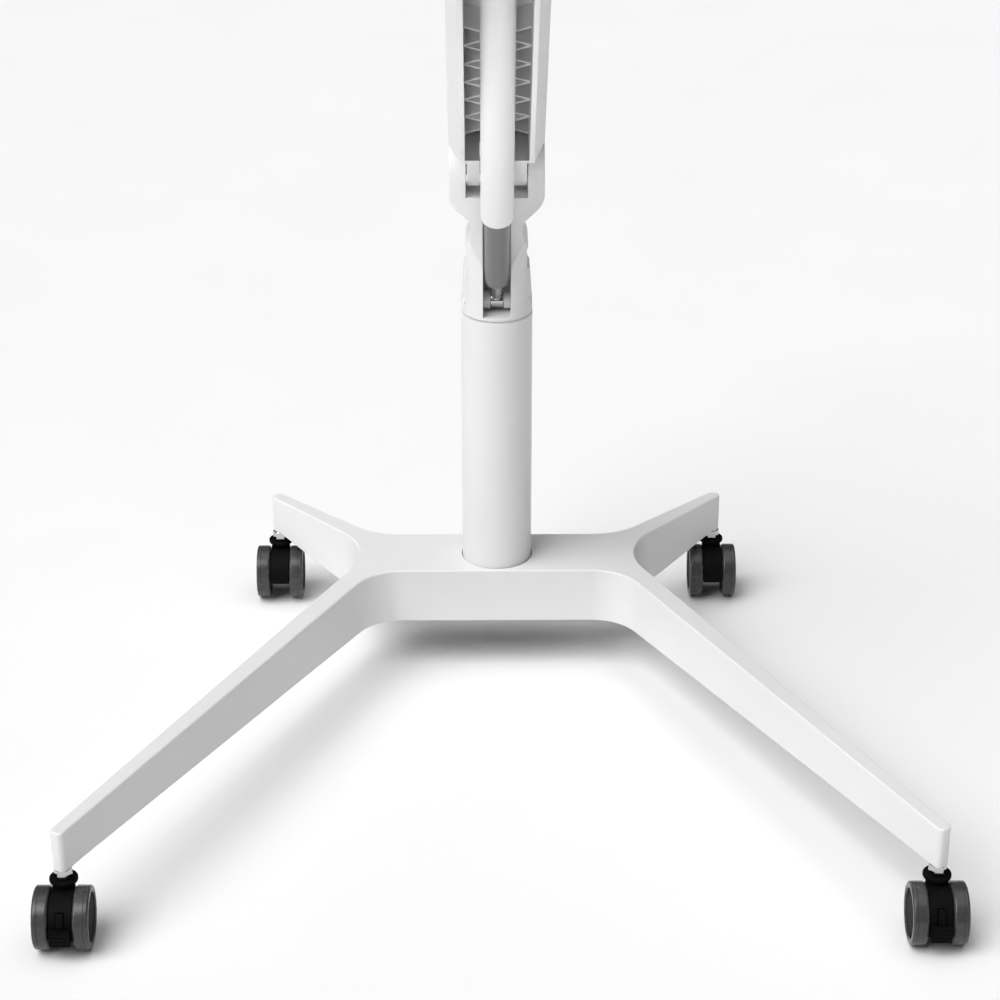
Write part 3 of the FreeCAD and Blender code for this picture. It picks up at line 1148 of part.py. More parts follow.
def check_and_write():
    """Stop on any failed object or bad shape, then write one file per sub-part."""
    doc.recompute()
    broken = [obj.Name for obj in doc.Objects
              if "Invalid" in obj.State or "Error" in obj.State]
    if broken:
        raise RuntimeError(f"failed objects: {broken}")
    for obj in nodes:
        shape = obj.Shape
        if shape.isNull() or not shape.isValid() or not shape.Solids:
            raise RuntimeError(f"bad shape: {obj.Label}")
    os.makedirs("parts", exist_ok=True)
    for obj in nodes:
        obj.Shape.exportStep(f"parts/{obj.Label}.step")
    print(f"{len(nodes)} sub-parts written")


make_base_frame()
make_base_cover()
make_column()
make_column_head()
make_pivots()
make_gas_spring()
make_boom_arm()
make_arm_fittings()
make_castors()
make_wrist()
make_lower_shell()
make_upper_shell()
make_boiler()
make_outlet()
make_tank()
make_controls()
check_and_write()
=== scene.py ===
"""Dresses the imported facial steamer: finishes, turned and softened pieces, studio and camera.

Lengths are metres in the frame's axes: +Z up, the long front legs towards -Y, +X to the right.
"""

import json
import logging
import math
from dataclasses import dataclass
from enum import Enum
from typing import Any, Callable, Iterable, Sequence

import bmesh
import bpy
from mathutils import Matrix, Vector


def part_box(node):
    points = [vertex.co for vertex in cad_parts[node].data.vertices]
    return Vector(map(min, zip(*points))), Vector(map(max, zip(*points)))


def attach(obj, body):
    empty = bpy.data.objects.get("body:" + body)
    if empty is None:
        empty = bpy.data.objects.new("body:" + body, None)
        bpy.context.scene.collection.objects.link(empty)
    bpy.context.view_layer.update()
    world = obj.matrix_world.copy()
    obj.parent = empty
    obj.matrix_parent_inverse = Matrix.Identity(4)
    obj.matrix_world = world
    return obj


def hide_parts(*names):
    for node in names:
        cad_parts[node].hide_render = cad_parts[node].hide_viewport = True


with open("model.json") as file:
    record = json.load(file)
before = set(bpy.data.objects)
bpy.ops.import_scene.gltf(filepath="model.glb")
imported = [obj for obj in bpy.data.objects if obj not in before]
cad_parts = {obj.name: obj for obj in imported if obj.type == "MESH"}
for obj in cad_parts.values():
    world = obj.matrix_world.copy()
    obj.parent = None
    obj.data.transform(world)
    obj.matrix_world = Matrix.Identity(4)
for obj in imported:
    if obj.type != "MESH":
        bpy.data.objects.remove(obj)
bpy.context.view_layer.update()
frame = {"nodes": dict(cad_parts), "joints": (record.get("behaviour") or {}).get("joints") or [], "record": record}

LOG = logging.getLogger("facial_steamer")
MM = 0.001
TINY = 1e-7
ROUND_STEPS = 96
HANDS = (("left", -1.0), ("right", 1.0))
NOISE_SPAN = (0.35, 0.65)
DUST_COLOUR = (0.5, 0.48, 0.45, 1.0)

Pair = tuple[float, float]
Triple = tuple[float, float, float]
Colour = Triple
OutlinePoint = tuple[float, float, int]
Mesh = bmesh.types.BMesh
Node = bpy.types.Node
Socket = bpy.types.NodeSocket


class Axis(Enum):
    """Directions that turned pieces point along."""

    RIGHT = Vector((1.0, 0.0, 0.0))
    LEFT = Vector((-1.0, 0.0, 0.0))
    FRONT = Vector((0.0, -1.0, 0.0))


class Effect(Enum):
    """Shared shader node groups."""

    GRAIN = "fine_grain"
    MOTTLE = "soft_mottle"
    EDGES = "rubbed_and_highlit_edges"
    DUST = "settled_dust"
    BRUSHED = "brushed_lines"


# ---- shader wiring

@dataclass
class Wiring:
    """Adds and links nodes in one shader tree."""

    tree: bpy.types.NodeTree

    def add(self, kind: str, feeds: dict[Any, Any] | None = None,
            **settings: Any) -> Node:
        """Add a node.

        Args:
            kind: Blender's name of the node type.
            feeds: value or source socket for each input, by name or index.
            **settings: properties of the node itself.

        Returns:
            The new node.
        """
        node = self.tree.nodes.new(kind)
        for name, value in settings.items():
            setattr(node, name, value)
        for name, value in (feeds or {}).items():
            if isinstance(value, Socket):
                self.tree.links.new(value, node.inputs[name])
            else:
                node.inputs[name].default_value = value
        return node

    def math(self, operation: str, first: Any, second: Any = 0.0) -> Socket:
        """Socket that holds one arithmetic result."""
        return self.add("ShaderNodeMath", {0: first, 1: second}, operation=operation).outputs[0]

    def spread(self, value: Any, low: float, high: float, to_low: float = 0.0,
               to_high: float = 1.0) -> Socket:
        """Map a value between two limits on to another pair.

        Args:
            value: source socket.
            low: value that gives to_low.
            high: value that gives to_high.
            to_low: lower result.
            to_high: upper result.

        Returns:
            The clamped result.
        """
        feeds = {"Value": value, "From Min": low, "From Max": high, "To Min": to_low,
                 "To Max": to_high}
        return self.add("ShaderNodeMapRange", feeds).outputs["Result"]

    def blend(self, factor: Any, first: Any, second: Any) -> Socket:
        """Mix two colours by a factor that varies over the surface."""
        factor_at, first_at, second_at, result_at = 0, 6, 7, 2
        feeds = {factor_at: factor, first_at: first, second_at: second}
        return self.add("ShaderNodeMix", feeds, data_type="RGBA").outputs[result_at]

    def effect(self, effect: Effect, **feeds: Any) -> Node:
        """Place a shared group; underscores in the input names stand for spaces."""
        node = self.tree.nodes.new("ShaderNodeGroup")
        node.node_tree = bpy.data.node_groups[effect.value]
        for name, value in feeds.items():
            node.inputs[name.replace("_", " ")].default_value = value
        return node

    def place(self) -> Socket:
        """Place on the object, in metres, which moves with it."""
        return self.add("ShaderNodeTexCoord").outputs["Object"]

    def noise(self, scale: Any, detail: Any, **feeds: Any) -> Socket:
        """Noise that moves with the object, unless it is fed another Vector."""
        if "Vector" not in feeds:
            feeds["Vector"] = self.place()
        feeds.update(Scale=scale, Detail=detail)
        return self.add("ShaderNodeTexNoise", feeds).outputs[0]

    def link(self, node: Node, **sources: Socket) -> None:
        """Feed the named inputs of a node."""
        for name, source in sources.items():
            self.tree.links.new(source, node.inputs[name])


def start_group(effect: Effect, inputs: dict[str, Any], outputs: Sequence[str]
                ) -> tuple[Wiring, Node, Node]:
    """Start a shared shader group.

    Args:
        effect: which group.
        inputs: default value of each named input.
        outputs: names of the outputs.

    Returns:
        The wiring of the group, its input node and its output node.
    """
    tree = bpy.data.node_groups.new(effect.value, "ShaderNodeTree")
    for name, value in inputs.items():
        kind = "NodeSocketVector" if isinstance(value, tuple) else "NodeSocketFloat"
        tree.interface.new_socket(name=name, in_out="INPUT", socket_type=kind).default_value = value
    for name in outputs:
        tree.interface.new_socket(name=name, in_out="OUTPUT", socket_type="NodeSocketFloat")
    return Wiring(tree), tree.nodes.new("NodeGroupInput"), tree.nodes.new("NodeGroupOutput")


def build_grain() -> None:
    """Fine skin of a sprayed or moulded surface: height, and a tone that follows it."""
    wiring, source, result = start_group(Effect.GRAIN, {"Scale": 900.0, "Sharpness": 2.0},
                                         ("Height", "Tone"))
    noise = wiring.noise(source.outputs["Scale"], source.outputs["Sharpness"])
    wiring.link(result, Height=noise, Tone=wiring.spread(noise, *NOISE_SPAN))


def build_mottle() -> None:
    """Broad, faint unevenness of colour and gloss."""
    wiring, source, result = start_group(Effect.MOTTLE, {"Scale": 30.0}, ("Tone", "Smudge"))
    tone_span, smudge_span, finer = (0.3, 0.7), (0.35, 0.7), 4.0
    broad = wiring.noise(source.outputs["Scale"], 4.0)
    near = wiring.noise(wiring.math("MULTIPLY", source.outputs["Scale"], finer), 6.0,
                        Distortion=0.6)
    wiring.link(result, Tone=wiring.spread(broad, *tone_span),
                Smudge=wiring.spread(near, *smudge_span))


def build_edges() -> None:
    """Mask along edges for rubbing and a painted highlight, broken up so that both are uneven."""
    wiring, source, result = start_group(Effect.EDGES, {"Reach": 0.0015, "Patches": 60.0},
                                         ("Mask",))
    flat_likeness, edge_likeness, patch_span = 0.995, 0.88, (0.4, 0.62)
    rounded_normal = wiring.add("ShaderNodeBevel", {"Radius": source.outputs["Reach"]}, samples=4)
    flat_normal = wiring.add("ShaderNodeNewGeometry")
    likeness = wiring.add("ShaderNodeVectorMath", {
        0: rounded_normal.outputs[0], 1: flat_normal.outputs["Normal"]}, operation="DOT_PRODUCT")
    edge = wiring.spread(likeness.outputs["Value"], flat_likeness, edge_likeness)
    patches = wiring.spread(wiring.noise(source.outputs["Patches"], 5.0), *patch_span)
    wiring.link(result, Mask=wiring.math("MULTIPLY", edge, patches))


def build_dust() -> None:
    """Mask of dust that has settled on faces that look up."""
    wiring, source, result = start_group(Effect.DUST, {"Scale": 90.0}, ("Mask",))
    slope_span, speck_span = (0.3, 1.0), (0.42, 0.75)
    direction = wiring.add("ShaderNodeSeparateXYZ", {
        0: wiring.add("ShaderNodeTexCoord").outputs["Normal"]})
    upward = wiring.spread(direction.outputs["Z"], *slope_span)
    specks = wiring.spread(wiring.noise(source.outputs["Scale"], 8.0), *speck_span)
    wiring.link(result, Mask=wiring.math("MULTIPLY", upward, specks))


def build_brushed() -> None:
    """Fine lines left by grinding, drawn out along the axis whose stretch is smallest."""
    wiring, source, result = start_group(Effect.BRUSHED, {"Stretch": (1500.0, 1500.0, 20.0)},
                                         ("Height", "Tone"))
    place = wiring.add("ShaderNodeVectorMath", {0: wiring.place(), 1: source.outputs["Stretch"]},
                       operation="MULTIPLY")
    noise = wiring.noise(1.0, 3.0, Vector=place.outputs[0])
    wiring.link(result, Height=noise, Tone=wiring.spread(noise, *NOISE_SPAN))


# ---- finishes

@dataclass(frozen=True)
class Finish:
    """One opaque finish.

    Attributes:
        name: name of the material.
        colour: its colour.
        roughness: middle roughness.
        metallic: 1 for bare metal.
        gloss_spread: how far the roughness wanders.
        tone_spread: how far the colour wanders, as a share.
        mottle: patches per metre of the broad unevenness.
        grain: ripples per metre of the fine skin.
        grain_depth: depth of the fine skin.
        coat: strength of a clear coat, broken by smudges.
        edge_rub_and_highlight_colour: colour of the edges, lighter for rubbing and for a painted highlight.
        edge_rub_and_highlight: strength of the rubbing and painted highlight at the edges, 0 to 1.
        dust: strength of the dust, 0 to 1.
        brushed: stretch of brushed lines, or None.
        specular: strength of the plain reflection, 0.5 for common plastics.
        coat_roughness: roughness of the clear coat.
        coat_smudged: share of the clear coat that is left under smudges.
        opacity: opacity of the swatch.
    """

    name: str
    colour: Colour
    roughness: float
    metallic: float = 0.0
    gloss_spread: float = 0.05
    tone_spread: float = 0.02
    mottle: float = 25.0
    grain: float = 700.0
    grain_depth: float = 0.006 * MM
    coat: float = 0.0
    edge_rub_and_highlight_colour: Colour = (0.9, 0.9, 0.9)
    edge_rub_and_highlight: float = 0.0
    dust: float = 0.0
    brushed: Triple | None = None
    specular: float = 0.5
    coat_roughness: float = 0.12
    coat_smudged: float = 0.8
    opacity: float = 1.0

    def shades(self) -> tuple[tuple[float, ...], tuple[float, ...]]:
        """Darkest and lightest tone of the colour."""
        dark = tuple(part * (1 - self.tone_spread) for part in self.colour)
        light = tuple(min(1.0, part * (1 + self.tone_spread)) for part in self.colour)
        return (*dark, 1.0), (*light, 1.0)

    def paint(self, wiring: Wiring, mottle: Node) -> Socket:
        """Colour of the surface: mottled, lighter at the edges for rubbing and a painted highlight, and dusty on
        top.

        Args:
            wiring: wiring of the material.
            mottle: its mottle group.

        Returns:
            The colour socket.
        """
        colour = wiring.blend(mottle.outputs["Tone"], *self.shades())
        # Edges are painted lighter: partly rubbing, partly a painted highlight.
        if self.edge_rub_and_highlight > 0:
            edges = wiring.effect(Effect.EDGES).outputs["Mask"]
            colour = wiring.blend(wiring.math("MULTIPLY", edges, self.edge_rub_and_highlight), colour,
                                  (*self.edge_rub_and_highlight_colour, 1.0))
        if self.dust > 0:
            dust = wiring.effect(Effect.DUST).outputs["Mask"]
            colour = wiring.blend(wiring.math("MULTIPLY", dust, self.dust), colour, DUST_COLOUR)
        return colour

    def feeds(self, wiring: Wiring, mottle: Node) -> dict[str, Any]:
        """Colour and reflection of the surface.

        Args:
            wiring: wiring of the material.
            mottle: its mottle group.

        Returns:
            Value or source of each input of the shader, apart from the normal.
        """
        smudge = mottle.outputs["Smudge"]
        feeds = {
            "Base Color": self.paint(wiring, mottle),
            "Roughness": wiring.spread(smudge, 0.0, 1.0, self.roughness - self.gloss_spread,
                                       self.roughness + self.gloss_spread),
            "Metallic": self.metallic,
            "Specular IOR Level": self.specular,
        }
        if self.coat > 0:
            feeds["Coat Weight"] = wiring.spread(smudge, 0.0, 1.0, self.coat,
                                                 self.coat * self.coat_smudged)
            feeds["Coat Roughness"] = self.coat_roughness
        return feeds

    def build(self) -> bpy.types.Material:
        """Make the material."""
        material = bpy.data.materials.new(self.name)
        material.use_nodes = True
        material.diffuse_color = (*self.colour, self.opacity)
        material.node_tree.nodes.clear()
        wiring = Wiring(material.node_tree)
        mottle = wiring.effect(Effect.MOTTLE, Scale=self.mottle)
        if self.brushed:
            skin = wiring.effect(Effect.BRUSHED, Stretch=self.brushed)
        else:
            skin = wiring.effect(Effect.GRAIN, Scale=self.grain)
        bump = wiring.add("ShaderNodeBump", {
            "Height": skin.outputs["Height"], "Distance": self.grain_depth})
        shader = wiring.add("ShaderNodeBsdfPrincipled", {
            **self.feeds(wiring, mottle), "Normal": bump.outputs[0]})
        wiring.add("ShaderNodeOutputMaterial", {"Surface": shader.outputs[0]})
        return material


@dataclass(frozen=True)
class ClearFinish(Finish):
    """Clear moulded plastic with a faint moulded skin."""

    opacity: float = 0.4
    transmission: float = 0.92
    refraction: float = 1.45

    def feeds(self, wiring: Wiring, mottle: Node) -> dict[str, Any]:
        """Plain clear colour, with smudges that dull it."""
        return {
            "Base Color": (*self.colour, 1.0), "Transmission Weight": self.transmission,
            "IOR": self.refraction,
            "Roughness": wiring.spread(mottle.outputs["Smudge"], 0.0, 1.0, self.roughness,
                                       self.roughness + self.gloss_spread)}


@dataclass(frozen=True)
class LitFinish(Finish):
    """Small lamp lens that glows faintly and unevenly."""

    glow: float = 0.6

    def feeds(self, wiring: Wiring, mottle: Node) -> dict[str, Any]:
        """The plain surface with its glow."""
        light = wiring.blend(mottle.outputs["Tone"], *self.shades())
        return {**super().feeds(wiring, mottle), "Emission Color": light,
                "Emission Strength": self.glow}


@dataclass(frozen=True)
class BoardFinish(Finish):
    """Circuit board: green lacquer with copper tracks under it."""

    track: Colour = (0.12, 0.3, 0.1)
    cells: float = 160.0
    track_width: float = 0.03

    def paint(self, wiring: Wiring, mottle: Node) -> Socket:
        """Colour of the surface: lacquer over a pattern of tracks.

        Args:
            wiring: wiring of the material.
            mottle: its mottle group.

        Returns:
            The colour socket.
        """
        colour = super().paint(wiring, mottle)
        cells = wiring.add("ShaderNodeTexBrick", {
            "Vector": wiring.place(), "Scale": self.cells, "Mortar Size": self.track_width})
        tracks = wiring.math("SUBTRACT", 1.0, cells.outputs["Fac"])
        return wiring.blend(tracks, (*self.track, 1.0), colour)


class Coat(Enum):
    """Every finish of the steamer."""

    # The lighter edge colours below are partly rubbing and partly a painted highlight.
    POWDER_WHITE = Finish("white_powder_coat", (0.80, 0.80, 0.80), 0.42, tone_spread=0.012,
                          mottle=9.0, grain=620.0, grain_depth=0.008 * MM, edge_rub_and_highlight=0.25,
                          edge_rub_and_highlight_colour=(0.88, 0.88, 0.88), dust=0.03)
    CAST_WHITE = Finish("white_coated_casting", (0.79, 0.79, 0.79), 0.48, gloss_spread=0.06,
                        tone_spread=0.015, mottle=14.0, grain=480.0, grain_depth=0.014 * MM,
                        edge_rub_and_highlight=0.25, edge_rub_and_highlight_colour=(0.87, 0.87, 0.87), dust=0.03)
    TUBE_WHITE = Finish("white_coated_tube", (0.80, 0.80, 0.80), 0.36, gloss_spread=0.04,
                        tone_spread=0.01, mottle=8.0, dust=0.02)
    SHELL_WHITE = Finish("white_moulded_shell", (0.82, 0.82, 0.815), 0.24, tone_spread=0.01,
                         mottle=12.0, grain=500.0, grain_depth=0.003 * MM, coat=0.3, dust=0.03)
    BLACK_SHEET = Finish("black_coated_sheet", (0.03, 0.03, 0.03), 0.5, edge_rub_and_highlight=0.5,
                         edge_rub_and_highlight_colour=(0.2, 0.2, 0.2), dust=0.1)
    BLACK_MOULDED = Finish("black_moulded_nylon", (0.004, 0.004, 0.004), 0.55, gloss_spread=0.06,
                           tone_spread=0.15, mottle=60.0, grain=1500.0, grain_depth=0.008 * MM,
                           edge_rub_and_highlight=0.1, edge_rub_and_highlight_colour=(0.02, 0.02, 0.02), dust=0.003, specular=0.04)
    GREY_TREAD = Finish("grey_moulded_tread", (0.046, 0.046, 0.047), 0.25, tone_spread=0.04,
                        mottle=50.0, grain=1100.0, grain_depth=0.004 * MM, edge_rub_and_highlight=0.05,
                        edge_rub_and_highlight_colour=(0.09, 0.09, 0.09), dust=0.005, specular=0.4)
    GREY_LACQUER = Finish("grey_lacquered_tube", (0.185, 0.185, 0.19), 0.34, metallic=0.4,
                          gloss_spread=0.04, tone_spread=0.03, mottle=60.0, grain=2600.0,
                          grain_depth=0.0025 * MM)
    GREY_BEARING = Finish("pale_grey_bearing_plastic", (0.6, 0.6, 0.6), 0.45, tone_spread=0.03,
                          grain=1300.0, grain_depth=0.005 * MM)
    GREY_MOULDED = Finish("grey_moulded_plastic", (0.30, 0.31, 0.32), 0.38, tone_spread=0.04,
                          grain=1200.0, grain_depth=0.008 * MM, dust=0.06)
    CHROME = Finish("polished_chrome", (0.50, 0.50, 0.51), 0.09, metallic=1.0, gloss_spread=0.04,
                    mottle=120.0, grain=300.0, grain_depth=0.001 * MM)
    ZINC_STEEL = Finish("zinc_plated_steel", (0.62, 0.62, 0.63), 0.3, metallic=1.0,
                        gloss_spread=0.1, tone_spread=0.08, mottle=90.0,
                        brushed=(40.0, 2200.0, 2200.0))
    DRAWN_STEEL = Finish("drawn_steel", (0.55, 0.55, 0.56), 0.28, metallic=1.0,
                         gloss_spread=0.08, tone_spread=0.06, mottle=70.0,
                         brushed=(1600.0, 1600.0, 60.0))
    HEATED_STEEL = Finish("heat_toned_steel", (0.28, 0.24, 0.2), 0.45, metallic=1.0,
                          gloss_spread=0.1, tone_spread=0.3, mottle=80.0,
                          brushed=(900.0, 900.0, 900.0), grain_depth=0.01 * MM)
    CLEAR_TANK = ClearFinish("clear_moulded_tank", (0.90, 0.95, 0.97), 0.04, gloss_spread=0.06,
                             mottle=20.0, grain=300.0, grain_depth=0.004 * MM)
    BOARD_GREEN = BoardFinish("circuit_board", (0.02, 0.14, 0.05), 0.35, tone_spread=0.1,
                              grain=900.0)
    LAMP_GREEN = LitFinish("lamp_lens", (0.1, 0.7, 0.2), 0.2, tone_spread=0.1, mottle=400.0)
    MARK_GREY = Finish("printed_grey_mark", (0.22, 0.23, 0.24), 0.5, tone_spread=0.05,
                       grain=1500.0, grain_depth=0.002 * MM)

    @property
    def material(self) -> bpy.types.Material:
        """The finish's material, made the first time that it is used."""
        return bpy.data.materials.get(self.value.name) or self.value.build()


def build_effects() -> None:
    """Make every shared shader group once."""
    for maker in (build_grain, build_mottle, build_edges, build_dust, build_brushed):
        maker()


# ---- frame lookups

def body_of(node: str) -> str:
    """Name of the CAD body that a node belongs to."""
    bodies = frame["record"]["behaviour"]["bodies"]
    return next(body for body, members in bodies.items() if node in members)


def pivot(joint: str) -> Vector:
    """Place of a joint at rest."""
    return Vector(next(item["pos_m"] for item in frame["joints"] if item["name"] == joint))


def middle(node: str) -> Vector:
    """Middle of a node's box."""
    low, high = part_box(node)
    return (low + high) / 2


def half_width(node: str) -> float:
    """Half of a node's width along X."""
    low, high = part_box(node)
    return (high.x - low.x) / 2


def facing(origin: Vector, axis: Vector) -> Matrix:
    """Matrix that stands a turned piece at a place, with its own Z along an axis."""
    return Matrix.Translation(origin) @ axis.to_track_quat("Z", "Y").to_matrix().to_4x4()


# ---- mesh work

def rounded(corners: Sequence[Triple], steps: int = 5) -> list[OutlinePoint]:
    """Outline with arcs at its corners.

    Args:
        corners: across, along and arc radius of each corner.
        steps: straight pieces in each arc.

    Returns:
        The outline's points, all on a round section.
    """
    points: list[OutlinePoint] = []
    count = len(corners)
    side_share = 0.48
    for index, (across, along, radius) in enumerate(corners):
        here = Vector((across, along))
        if radius <= 0:
            points.append((across, along, 0))
            continue
        back = Vector(corners[index - 1][:2]) - here
        ahead = Vector(corners[(index + 1) % count][:2]) - here
        half = back.angle(ahead) / 2
        reach = min(radius / math.tan(half), back.length * side_share, ahead.length * side_share)
        centre = here + (back.normalized() + ahead.normalized()).normalized() * (
            reach / math.cos(half))
        first = here + back.normalized() * reach - centre
        last = here + ahead.normalized() * reach - centre
        sweep = first.angle(last)
        for step in range(steps + 1):
            share = step / steps
            arm = (first * math.sin((1 - share) * sweep) + last * math.sin(share * sweep))
            place = centre + arm / math.sin(sweep)
            points.append((place.x, place.y, 0))
    return points


def section_radius(radius: float, sides: int, angle: float) -> float:
    """Radius of a round or many-sided section; a many-sided one is given across its corners."""
    if sides == 0:
        return radius
    half = math.pi / sides
    offset = (angle % (2 * half)) - half
    return radius * math.cos(half) / math.cos(offset)


def turned(mesh: Mesh, outline: Sequence[OutlinePoint], place: Matrix,
           steps: int = ROUND_STEPS, flutes: Callable[[float], float] | None = None) -> None:
    """Turn a closed outline, or one that starts and ends on the axis, about its own Z.

    Args:
        mesh: mesh to add to.
        outline: radius, height and number of sides (0 for round) of each point.
        place: where the piece stands.
        steps: places round the axis.
        flutes: factor on the radius for an angle, or None.
    """
    rings = []
    for radius, along, sides in outline:
        if radius < TINY:
            rings.append([mesh.verts.new(place @ Vector((0.0, 0.0, along)))] * steps)
            continue
        ring = []
        for step in range(steps):
            angle = 2 * math.pi * step / steps
            reach = section_radius(radius, sides, angle) * (flutes(angle) if flutes else 1.0)
            ring.append(mesh.verts.new(place @ Vector((
                reach * math.cos(angle), reach * math.sin(angle), along))))
        rings.append(ring)
    for lower, upper in zip(rings, rings[1:] + rings[:1]):
        for step in range(steps):
            follow = (step + 1) % steps
            corners = list(dict.fromkeys((lower[step], lower[follow], upper[follow], upper[step])))
            if len(corners) > 2:
                mesh.faces.new(corners)


def prism(mesh: Mesh, points: Iterable[Vector], depth: Vector) -> list[Any]:
    """Straight prism from a flat outline.

    Args:
        mesh: mesh to add to.
        points: the outline's corners.
        depth: how far it is drawn out.

    Returns:
        The prism's edges.
    """
    near = [mesh.verts.new(point) for point in points]
    far = [mesh.verts.new(vertex.co + depth) for vertex in near]
    faces = [mesh.faces.new(near), mesh.faces.new(far)]
    for index in range(len(near)):
        follow = (index + 1) % len(near)
        faces.append(mesh.faces.new((near[index], near[follow], far[follow], far[index])))
    return list({edge for face in faces for edge in face.edges})


def block(mesh: Mesh, low: Vector, high: Vector, radius: float) -> None:
    """Box with every edge rounded."""
    corners = (Vector((low.x, low.y, low.z)), Vector((high.x, low.y, low.z)),
               Vector((high.x, high.y, low.z)), Vector((low.x, high.y, low.z)))
    edges = prism(mesh, corners, Vector((0.0, 0.0, high.z - low.z)))
    round_over(mesh, edges, radius, 3)


def round_over(mesh: Mesh, edges: Sequence[Any], radius: float,
               segments: int = 2) -> None:
    """Round the given edges."""
    bmesh.ops.bevel(mesh, geom=edges, offset=radius, offset_type="OFFSET", segments=segments,
                    profile=0.5, affect="EDGES", clamp_overlap=False)


def sharp_edges(mesh: Mesh, corner: float) -> list[Any]:
    """Edges whose two faces meet at more than an angle in degrees."""
    limit = math.radians(corner)
    return [edge for edge in mesh.edges
            if len(edge.link_faces) == 2 and edge.calc_face_angle(0.0) > limit]


def show(name: str, mesh: Mesh, coat: Coat, node: str, *replaced: str,
         crease: float = 40.0) -> None:
    """Make a shown piece of a mesh.

    Args:
        name: name of the piece.
        mesh: its mesh, which is freed.
        coat: its finish.
        node: CAD node whose body it rides on.
        *replaced: CAD nodes that it stands for.
        crease: angle in degrees over which an edge stays crisp.
    """
    bmesh.ops.recalc_face_normals(mesh, faces=mesh.faces)
    for face in mesh.faces:
        face.smooth = True
    for edge in sharp_edges(mesh, crease):
        edge.smooth = False
    data = bpy.data.meshes.new(name)
    mesh.to_mesh(data)
    mesh.free()
    piece = bpy.data.objects.new(name, data)
    bpy.context.scene.collection.objects.link(piece)
    data.materials.append(coat.material)
    shading = piece.modifiers.new("even_shading", "WEIGHTED_NORMAL")
    shading.keep_sharp = True
    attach(piece, body_of(node))
    if replaced:
        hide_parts(*replaced)
    LOG.info("%s: %d faces, rides on %s", name, len(data.polygons), body_of(node))


def show_turned(node: str, word: str, coat: Coat, outline: Sequence[OutlinePoint], place: Matrix,
                crease: float = 40.0, **turning: Any) -> None:
    """Turn an outline into the piece that stands for a CAD node.

    Args:
        node: the CAD node.
        word: what the piece's name adds to the node's.
        coat: its finish.
        outline: its outline.
        place: where it stands.
        crease: angle in degrees over which an edge stays crisp.
        **turning: steps and flutes, as for a turned mesh.
    """
    mesh = bmesh.new()
    turned(mesh, outline, place, **turning)
    show(f"{node}_{word}", mesh, coat, node, node, crease=crease)


def soft_copy(node: str, coat: Coat, radius: float = 0.5 * MM, corner: float = 32.0) -> None:
    """Copy a CAD node with its sharp edges softened, to stand for it.

    Args:
        node: the CAD node.
        coat: its finish.
        radius: how far the edges are rounded.
        corner: angle in degrees over which an edge counts as sharp.
    """
    mesh = bmesh.new()
    mesh.from_mesh(frame["nodes"][node].data)
    weld, flat = 0.002 * MM, math.radians(0.6)
    bmesh.ops.remove_doubles(mesh, verts=mesh.verts, dist=weld)
    bmesh.ops.dissolve_limit(mesh, angle_limit=flat, verts=mesh.verts, edges=mesh.edges)
    edges = sharp_edges(mesh, corner)
    if edges:
        round_over(mesh, edges, radius)
    show(f"{node}_soft", mesh, coat, node, node)


def keep(node: str, coat: Coat) -> None:
    """Give a CAD node that shows as it is its finish."""
    materials = frame["nodes"][node].data.materials
    if not materials:
        materials.append(coat.material)
    for index in range(len(materials)):
        materials[index] = coat.material
    LOG.info("%s: kept, %s", node, coat.value.name)


def socket_pin(node: str, coat: Coat, socket_share: float = 0.55) -> None:
    """Cross pin with chamfered ends and a six-sided socket in each, to stand for a CAD node.

    Args:
        node: the CAD node, a pin along X.
        coat: its finish.
        socket_share: socket over pin radius.
    """
    low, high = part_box(node)
    deep_share, chamfer_share = 0.7, 0.12
    radius = (high.z - low.z) / 2
    half = half_width(node)
    chamfer = radius * chamfer_share
    socket = radius * socket_share
    bottom = half - radius * deep_share
    outline: list[OutlinePoint] = []
    for side in (-1.0, 1.0):
        end = [(0.0, side * bottom, 0), (socket, side * bottom, 6),
               (socket, side * (half - chamfer), 6), (socket + chamfer, side * half, 0),
               (radius - chamfer, side * half, 0), (radius, side * (half - chamfer), 0)]
        outline += end if side < 0 else end[::-1]
    show_turned(node, "socketed", coat, outline, facing(middle(node), Axis.RIGHT.value),
                crease=25.0)


# ---- stand

@dataclass
class BaseStand:
    """Four-legged casting, its cover and the castors' stems."""

    edge: float = 0.7 * MM
    nut_chamfer: float = 0.35 * MM
    nut_height: float = 9.5 * MM
    king_radius: float = 5.0 * MM
    thread_radius: float = 3.9 * MM

    def build(self) -> None:
        """Make and dress every piece of the base."""
        soft_copy("base_frame", Coat.POWDER_WHITE, self.edge)
        soft_copy("base_cover_plate", Coat.BLACK_SHEET, 0.3 * MM)
        soft_copy("cover_screws", Coat.ZINC_STEEL, 0.25 * MM)
        self.stems()

    def stems(self) -> None:
        """Chamfered hexagon nuts with a washer face, over plain king pins."""
        low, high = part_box("castor_stems")
        castors = sorted({item["name"] for item in frame["joints"]
                          if item["name"].endswith("_swivel")})
        across = pivot("castor_fl_swivel").x - low.x
        flats = across * math.cos(math.pi / 6)
        chamfer = self.nut_chamfer
        nut_low = pivot("castor_fl_swivel").z
        nut_high = nut_low + self.nut_height
        king, thread = self.king_radius, self.thread_radius
        mesh = bmesh.new()
        for name in castors:
            centre = pivot(name)
            outline = [(0.0, low.z, 0), (king - chamfer, low.z, 0), (king, low.z + chamfer, 0),
                       (king, nut_low, 0), (flats - chamfer, nut_low, 0),
                       (across, nut_low + 2 * chamfer, 6), (across, nut_high - 4 * chamfer, 6),
                       (flats - chamfer, nut_high - 2 * chamfer, 0),
                       (flats - chamfer, nut_high, 0), (thread, nut_high, 0),
                       (thread, high.z, 0), (0.0, high.z, 0)]
            turned(mesh, outline, Matrix.Translation((centre.x, centre.y, 0.0)))
        show("castor_stems_nuts", mesh, Coat.CHROME, "castor_stems", "castor_stems", crease=22.0)


